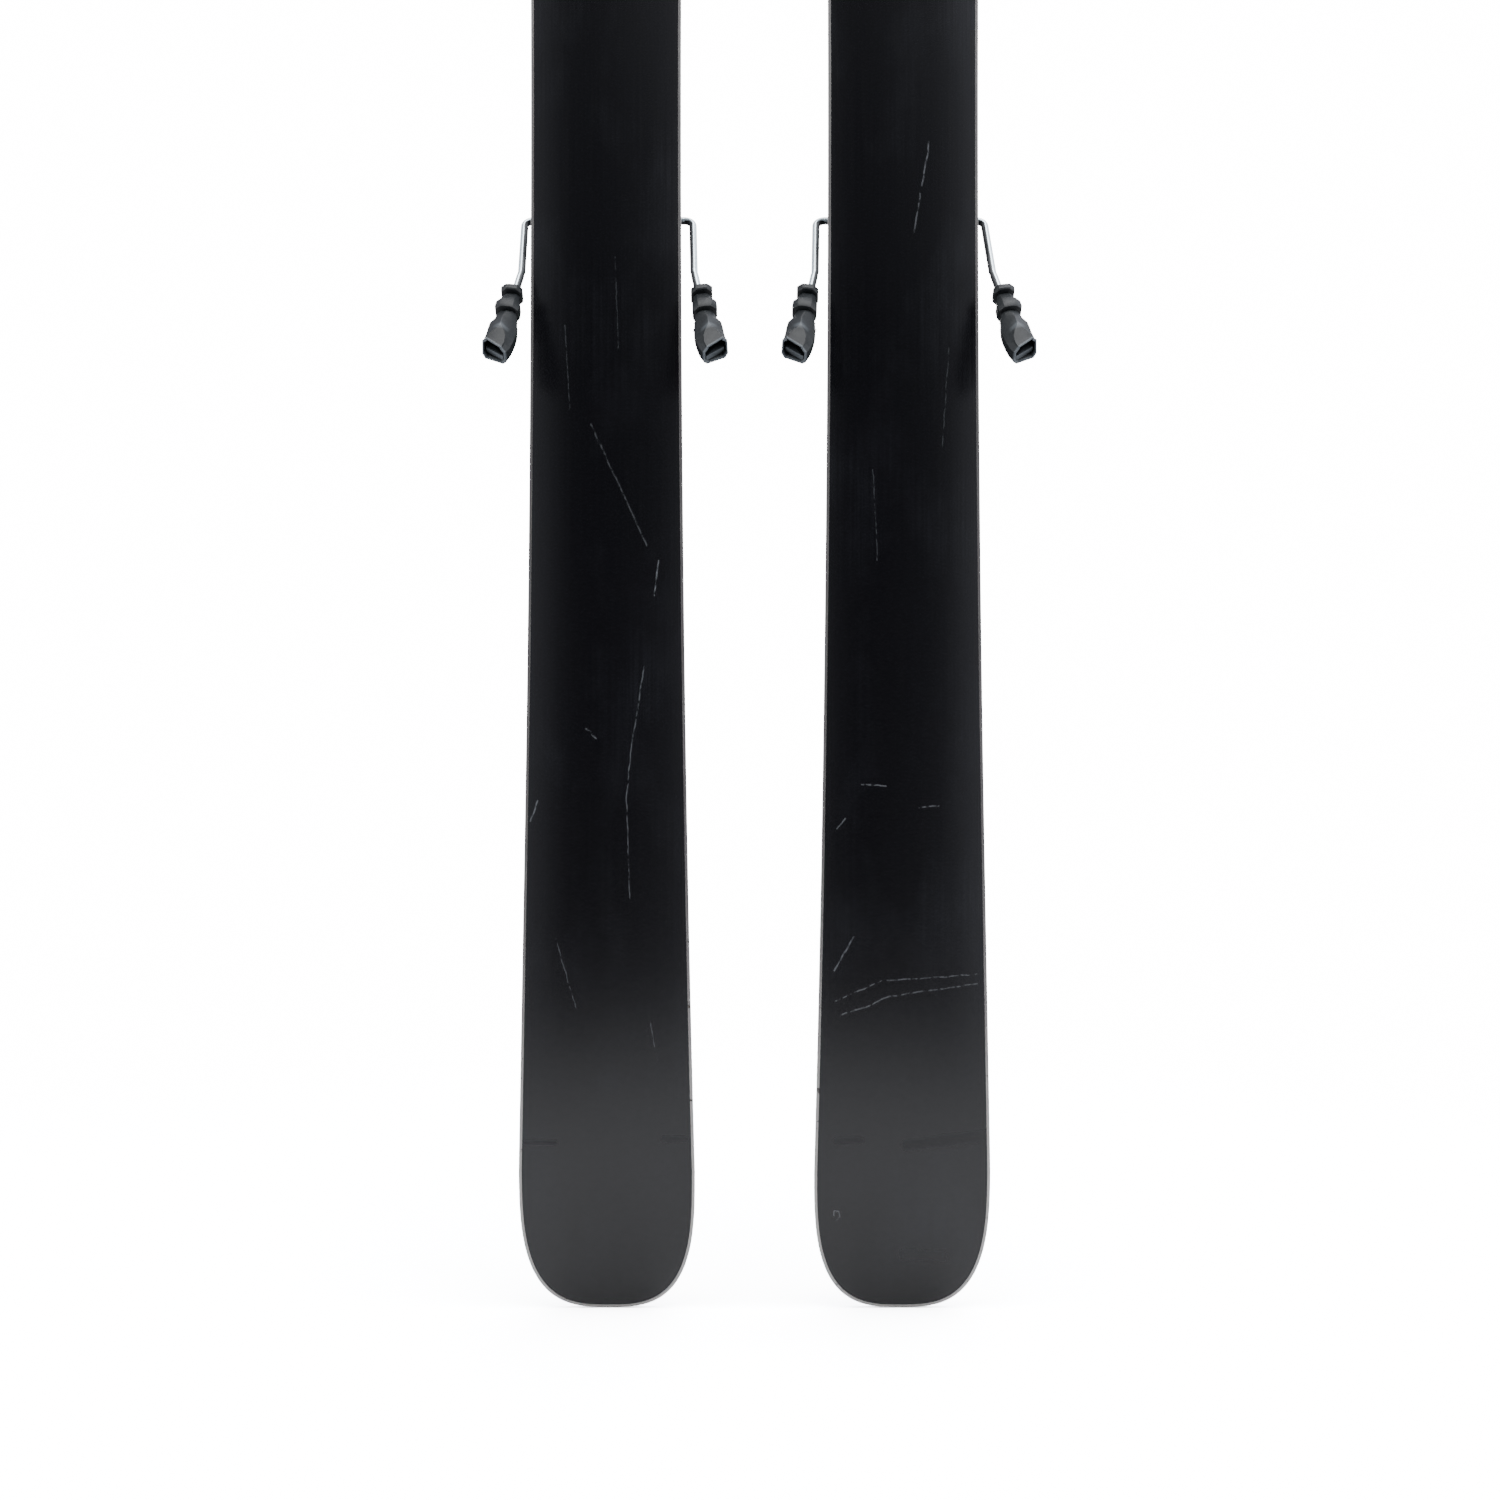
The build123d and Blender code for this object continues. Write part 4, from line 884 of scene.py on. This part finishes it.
def bar_tree():
    """A node tree: a row of like bars, for ribs, teeth and printed marks."""
    tree = bpy.data.node_groups.new("Row of bars", "GeometryNodeTree")
    for name, kind in (
        ("Count", "NodeSocketInt"), ("Length", "NodeSocketFloat"), ("Radius", "NodeSocketFloat"),
        ("Start", "NodeSocketVector"), ("Step", "NodeSocketVector"), ("Turn", "NodeSocketVector"),
        ("Finish", "NodeSocketMaterial"),
    ):
        tree.interface.new_socket(name, in_out="INPUT", socket_type=kind)
    tree.interface.new_socket("Geometry", in_out="OUTPUT", socket_type="NodeSocketGeometry")
    given = add(tree, "NodeGroupInput").outputs
    places = {"Count": given["Count"], "Start Location": given["Start"], "Offset": given["Step"]}
    line = add(tree, "GeometryNodeMeshLine", places)
    size = {"Vertices": 12, "Radius": given["Radius"], "Depth": given["Length"]}
    bar = add(tree, "GeometryNodeMeshCylinder", size)
    turn = add(tree, "FunctionNodeEulerToRotation", {"Euler": given["Turn"]})
    row = add(tree, "GeometryNodeInstanceOnPoints", {"Points": line, "Instance": bar, "Rotation": turn})
    real = add(tree, "GeometryNodeRealizeInstances", {"Geometry": row})
    painted = add(tree, "GeometryNodeSetMaterial", {"Geometry": real, "Material": given["Finish"]})
    add(tree, "NodeGroupOutput", {"Geometry": painted})
    return tree


def row_of_bars(tree, name, body, finish, count, length, radius, start, step, turn):
    """Bars in a row, sizes in millimetres, on a body of the frame."""
    holder = linked(name, bpy.data.meshes.new(name))
    modifier = holder.modifiers.new("row", "NODES")
    modifier.node_group = tree
    values = {
        "Count": count, "Length": length * MM, "Radius": radius * MM, "Start": Vector(start) * MM,
        "Step": Vector(step) * MM, "Turn": turn, "Finish": MATERIALS[finish],
    }
    for socket in tree.interface.items_tree:
        if socket.in_out == "INPUT":
            modifier[socket.identifier] = values[socket.name]
    finish_piece(baked_mesh(holder), name, body, finish, smooth=50)


ALONG_X, ALONG_Y = (0, math.pi / 2, 0), (math.pi / 2, 0, 0)
TOE_TOP, CUP_TOP = 67.0, 88.0
TOE_SCALE_AT, HEEL_SCALE_AT = 1058, 656
SCALE_HALF_WIDTH, SCALE_HALF_HEIGHT = 5, 11
TOE_RIBS_FROM = 1014
LEVER_BAR = (90.1, 579.5)
TRACK_SIDE, TRACK_TOP, TRACK_TEETH_FROM = 30, 13.5, 577
RIBBED_LENGTH = 32


def scale_window(name, body, centre, top, z):
    """A pale plate with a pointer beside it, lying on a cover."""
    left, right = centre - SCALE_HALF_WIDTH, centre + SCALE_HALF_WIDTH
    low, high = z - SCALE_HALF_HEIGHT, z + SCALE_HALF_HEIGHT
    outline = [(left, low), (right, low), (right, high), (left, high)]
    plate = slab(name, outline, top - 0.4, top + 0.25, 0.2)
    finish_piece(plate, f"{name}_plate", body, "white scale plate")
    outline = [(right + 2.6, z - 1.8), (right + 0.6, z), (right + 2.6, z + 1.8)]
    pointer = slab(name, outline, top - 0.4, top + 0.5, 0.1)
    finish_piece(pointer, f"{name}_pointer", body, "orange pointer")


def build_bindings():
    """Softens the toe and heel pieces and adds their ribs, teeth, ridges and setting scales."""
    looks = bpy.context.scene.binding_looks
    tree = bar_tree()
    _, pedal = brake_directions()
    tread_up = Vector((0, pedal.z, -pedal.y))
    pitch = looks.rib_pitch / MM
    rib_count = int(RIBBED_LENGTH / pitch) + 1
    for side, centre in CENTRES.items():
        for node, (body, width) in SOFTENED.items():
            name = f"{side}_{node}"
            softened(name, f"{name}_piece", f"{side}_{body}", CAD_FINISHES[node], width)
        # ribs under the boot on the brake pedal
        first = Vector((centre, *BRAKE_AXIS)) + pedal * 6 + tread_up * 4.5
        row_of_bars(tree, f"{side}_pedal_ribs", f"{side}_brake", "glass-filled nylon", rib_count, 36, 0.8,
                    first, pedal * pitch, ALONG_X)
        # grip ridges on the heel lever's crossbar
        row_of_bars(tree, f"{side}_lever_ridges", f"{side}_lever", "powder-coated alloy", 4, 46, 0.6,
                    (centre, *LEVER_BAR), (0, 0.06, 3.6), ALONG_X)
        # teeth along both sides of the heel track
        for way, word in ((-1, "left"), (1, "right")):
            row_of_bars(tree, f"{side}_{word}_track_teeth", f"{side}_ski", "glass-filled nylon", 40, 2.4, 0.5,
                        (centre + way * TRACK_SIDE, TRACK_TOP, TRACK_TEETH_FROM), (0, 0, 4.2), ALONG_Y)
        # ribs across the toe cover behind the boot's toe
        row_of_bars(tree, f"{side}_toe_ribs", f"{side}_ski", "glossy nylon cover", 5, 40, 0.6,
                    (centre, TOE_TOP, TOE_RIBS_FROM), (0, 0, 4), ALONG_X)
        # the setting scales
        for word, body, top, z in (
            ("toe", "ski", TOE_TOP, TOE_SCALE_AT), ("heel", "cup", CUP_TOP, HEEL_SCALE_AT),
        ):
            scale_window(f"{side}_{word}_scale", f"{side}_{body}", centre, top, z)
            row_of_bars(tree, f"{side}_{word}_marks", f"{side}_{body}", "black printed marks", 7, 6, 0.22,
                        (centre, top + 0.18, z - 8.4), (0, 0, 2.8), ALONG_X)


# ---- the studio ----
# how bright the room ahead looks to the glossy bases, from below the floor's level to overhead
ROOM_BANDS = (
    (0.0, 0.1), (0.22, 0.1), (0.31, 0.045), (0.37, 0.02), (0.43, 0.06), (0.5, 0.17), (0.62, 0.4),
    (0.8, 1.2), (1.0, 1.8),
)
LIGHTS = (
    # name, place and target in metres, width, height and power in watts
    ("overhead", (0, -0.7, 3.2), (0, -0.3, 0.0), 2.4, 2.4, 150),
    ("left strip", (-2.2, -0.6, 1.2), (0, 0, 0.6), 0.6, 2.4, 30),
    ("right strip", (2.2, -0.6, 1.2), (0, 0, 0.6), 0.6, 2.4, 30),
    ("behind", (0, 2.6, 1.6), (0, 0, 0.7), 1.6, 1.6, 40),
)
FLOOR_RADIUS = 2.4


def build_floor():
    """A pale floor that fades out before its rim, and looks paler than the light it throws back."""
    floor = bmesh.new()
    bmesh.ops.create_circle(floor, cap_ends=True, segments=96, radius=FLOOR_RADIUS)
    bmesh.ops.translate(floor, vec=(0, -0.3, -0.0005), verts=floor.verts)
    obj = linked("floor", written(floor, "floor"))
    made = bpy.data.materials.new("pale studio floor")
    made.use_nodes = True
    tree = made.node_tree
    tree.nodes.clear()
    seen = add(tree, "ShaderNodeLightPath").outputs["Is Camera Ray"]
    tones = {0: seen, 6: (0.52, 0.52, 0.52, 1), 7: (6, 6, 6, 1)}
    tone = add(tree, "ShaderNodeMix", tones, data_type="RGBA")
    paint = add(tree, "ShaderNodeBsdfDiffuse", {"Color": tone})
    where = add(tree, "ShaderNodeTexCoord").outputs["Object"]
    away = add(tree, "ShaderNodeVectorMath", {0: where}, operation="LENGTH")
    span = {"Value": away, "From Min": 0.35, "From Max": 1.35, "To Min": 1.0, "To Max": 0.0}
    fade = add(tree, "ShaderNodeMapRange", span, interpolation_type="SMOOTHSTEP")
    clear = add(tree, "ShaderNodeBsdfTransparent")
    blend = add(tree, "ShaderNodeMixShader", {0: fade, 1: clear, 2: paint})
    add(tree, "ShaderNodeOutputMaterial", {"Surface": blend})
    obj.data.materials.append(made)


def build_room():
    """The room round the skis: white behind them, and dark ahead with paler sides and ceiling."""
    world = bpy.data.worlds.new("studio")
    bpy.context.scene.world = world
    world.use_nodes = True
    tree = world.node_tree
    tree.nodes.clear()
    seen = add(tree, "ShaderNodeLightPath").outputs["Is Camera Ray"]
    toward = add(tree, "ShaderNodeTexCoord").outputs["Generated"]
    part = add(tree, "ShaderNodeSeparateXYZ", {0: toward}).outputs
    height = add(tree, "ShaderNodeMapRange", {"Value": part["Z"], "From Min": -0.3, "From Max": 1.0})
    bands = add(tree, "ShaderNodeValToRGB", {0: height})
    for k, (place, level) in enumerate(ROOM_BANDS):
        stop = bands.color_ramp.elements[k] if k < 2 else bands.color_ramp.elements.new(place)
        stop.position = place
        stop.color = (level, level, level, 1)
    aside = add(tree, "ShaderNodeMath", {0: part["X"]}, operation="ABSOLUTE")
    span = {"Value": aside, "From Min": 0.35, "From Max": 0.85, "To Max": 1.6}
    walls = add(tree, "ShaderNodeMapRange", span)
    # paler towards the right, and never under half
    slope = add(tree, "ShaderNodeMath", {0: part["X"], 1: 2.6, 2: 1.0}, operation="MULTIPLY_ADD")
    tilt = add(tree, "ShaderNodeMath", {0: slope, 1: 0.5}, operation="MAXIMUM")
    level = add(tree, "ShaderNodeMath", {0: bands, 1: tilt, 2: walls}, operation="MULTIPLY_ADD")
    dim = add(tree, "ShaderNodeBackground", {"Color": linear("#e6e9f2"), "Strength": level})
    pale = add(tree, "ShaderNodeBackground", {"Color": (1, 1, 1, 1), "Strength": 16.0})
    both = add(tree, "ShaderNodeMixShader", {0: seen, 1: dim, 2: pale})
    add(tree, "ShaderNodeOutputWorld", {"Surface": both})


def build_stage():
    """The floor, the room, four soft lights and the camera."""
    build_floor()
    build_room()
    for name, place, target, width, height, power in LIGHTS:
        light = bpy.data.lights.new(name, "AREA")
        light.energy = power
        light.size = width
        if height != width:
            light.shape = "RECTANGLE"
            light.size_y = height
        obj = linked(name, light)
        obj.location = place
        obj.rotation_euler = (Vector(target) - Vector(place)).to_track_quat("-Z", "Y").to_euler()
    camera = bpy.data.cameras.new("camera")
    camera.lens = 47.3
    camera.sensor_width = 36.0
    camera.clip_start = 0.05
    obj = linked("camera", camera)
    obj.location = (-0.003, -1.3, 0.375)
    obj.rotation_euler = (math.pi / 2, 0, 0)
    bpy.context.scene.camera = obj


# ---- the add-on ----
def colour_choice(name, description, code):
    """A colour that a user can change."""
    return FloatVectorProperty(
        name=name, description=description, subtype="COLOR", size=4, min=0, max=1, default=linear(code)
    )


class SkiLooks(bpy.types.PropertyGroup):
    """Colours and wear of the skis themselves"""

    base_colour: colour_choice("Base colour", "Colour of the running bases", "#07070a")
    base_gloss: FloatProperty(
        name="Base roughness", description="How blurred the bases reflect the room", subtype="FACTOR",
        min=0.05, max=0.8, default=0.22,
    )
    wear: FloatProperty(
        name="Wear", description="How strongly scratches and dirt show on the bases", subtype="FACTOR",
        min=0, max=1, default=1.0,
    )
    edge_colour: colour_choice("Edge colour", "Darker colour of the ground steel edges", "#8f8c8a")
    topsheet_colour: colour_choice("Top sheet colour", "Main colour of the top sheets", "#15171a")
    topsheet_drift: colour_choice("Top sheet drift", "Colour that the top sheets drift to", "#2a323b")
    stripe_colour: colour_choice("Side line colour", "Colour of the top sheets' thin side lines", "#8a949c")


class BindingLooks(bpy.types.PropertyGroup):
    """Colours and small sizes of the toe and heel pieces"""

    plate_colour: colour_choice("Plate colour", "Colour of plates, tracks, carriages and pedals", "#1b1c1f")
    cover_colour: colour_choice("Cover colour", "Colour of the toe housings and heel cups", "#24262a")
    lever_colour: colour_choice("Lever colour", "Colour of the heel levers and toe wings", "#2c2e32")
    trim_colour: colour_choice("Trim colour", "Colour of the setting screws", "#8b8e92")
    pointer_colour: colour_choice("Pointer colour", "Colour of the pointers beside the scales", "#c4521c")
    rounding: FloatProperty(
        name="Rounding", description="How far moulded edges are rounded, against their usual radius",
        subtype="FACTOR", min=0.2, max=1.5, default=1.0,
    )
    rib_pitch: FloatProperty(
        name="Rib pitch", description="Distance from one pedal rib to the next", unit="LENGTH",
        min=0.003, max=0.012, default=0.0053, precision=4,
    )


class BrakeLooks(bpy.types.PropertyGroup):
    """Colour and size of the brake arms"""

    foot_colour: colour_choice("Foot colour", "Colour of the brake feet", "#131618")
    wire_diameter: FloatProperty(
        name="Wire diameter", description="Diameter of the bent brake wires", unit="LENGTH",
        min=0.003, max=0.006, default=0.005, precision=4,
    )


class SKI_OT_finishes(bpy.types.Operator):
    """Makes the finishes and paints the CAD frame with them"""

    bl_idname = "ski.finishes"
    bl_label = "Finishes"

    def execute(self, context):
        make_finishes()
        paint_frame()
        return {"FINISHED"}


class SKI_OT_layers(bpy.types.Operator):
    """Builds the bases, edges, sidewalls, laminates and top sheets"""

    bl_idname = "ski.layers"
    bl_label = "Ski layers"

    def execute(self, context):
        build_layers()
        return {"FINISHED"}


class SKI_OT_brakes(bpy.types.Operator):
    """Builds the brake wires, feet and pedals"""

    bl_idname = "ski.brakes"
    bl_label = "Brakes"

    def execute(self, context):
        build_brakes()
        return {"FINISHED"}


class SKI_OT_bindings(bpy.types.Operator):
    """Builds the toe and heel pieces"""

    bl_idname = "ski.bindings"
    bl_label = "Bindings"

    def execute(self, context):
        build_bindings()
        return {"FINISHED"}


class SKI_OT_stage(bpy.types.Operator):
    """Sets up the floor, the light and the camera"""

    bl_idname = "ski.stage"
    bl_label = "Stage"

    def execute(self, context):
        build_stage()
        return {"FINISHED"}


OPERATORS = (SKI_OT_finishes, SKI_OT_layers, SKI_OT_brakes, SKI_OT_bindings, SKI_OT_stage)


class SKI_PT_panel(bpy.types.Panel):
    """Lists the builders in the sidebar"""

    bl_idname = "SKI_PT_panel"
    bl_label = "Alpine ski pair"
    bl_space_type = "VIEW_3D"
    bl_region_type = "UI"
    bl_category = "Skis"

    def draw(self, context):
        for word, kind in GROUPS.items():
            for name in kind.__annotations__:
                self.layout.prop(getattr(context.scene, word), name)
        for operator in OPERATORS:
            self.layout.operator(operator.bl_idname)


GROUPS = {"ski_looks": SkiLooks, "binding_looks": BindingLooks, "brake_looks": BrakeLooks}
CLASSES = (*GROUPS.values(), *OPERATORS, SKI_PT_panel)


def register():
    """Registers the classes and gives the scene its groups of sizes and colours."""
    for each in CLASSES:
        bpy.utils.register_class(each)
    for word, kind in GROUPS.items():
        setattr(bpy.types.Scene, word, bpy.props.PointerProperty(type=kind))


def unregister():
    """Takes back what register gave."""
    for word in GROUPS:
        delattr(bpy.types.Scene, word)
    for each in reversed(CLASSES):
        bpy.utils.unregister_class(each)


def main():
    """Runs the builders in order."""
    register()
    for operator in OPERATORS:
        group, name = operator.bl_idname.split(".")
        getattr(getattr(bpy.ops, group), name)()
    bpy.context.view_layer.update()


if __name__ == "__main__":
    main()
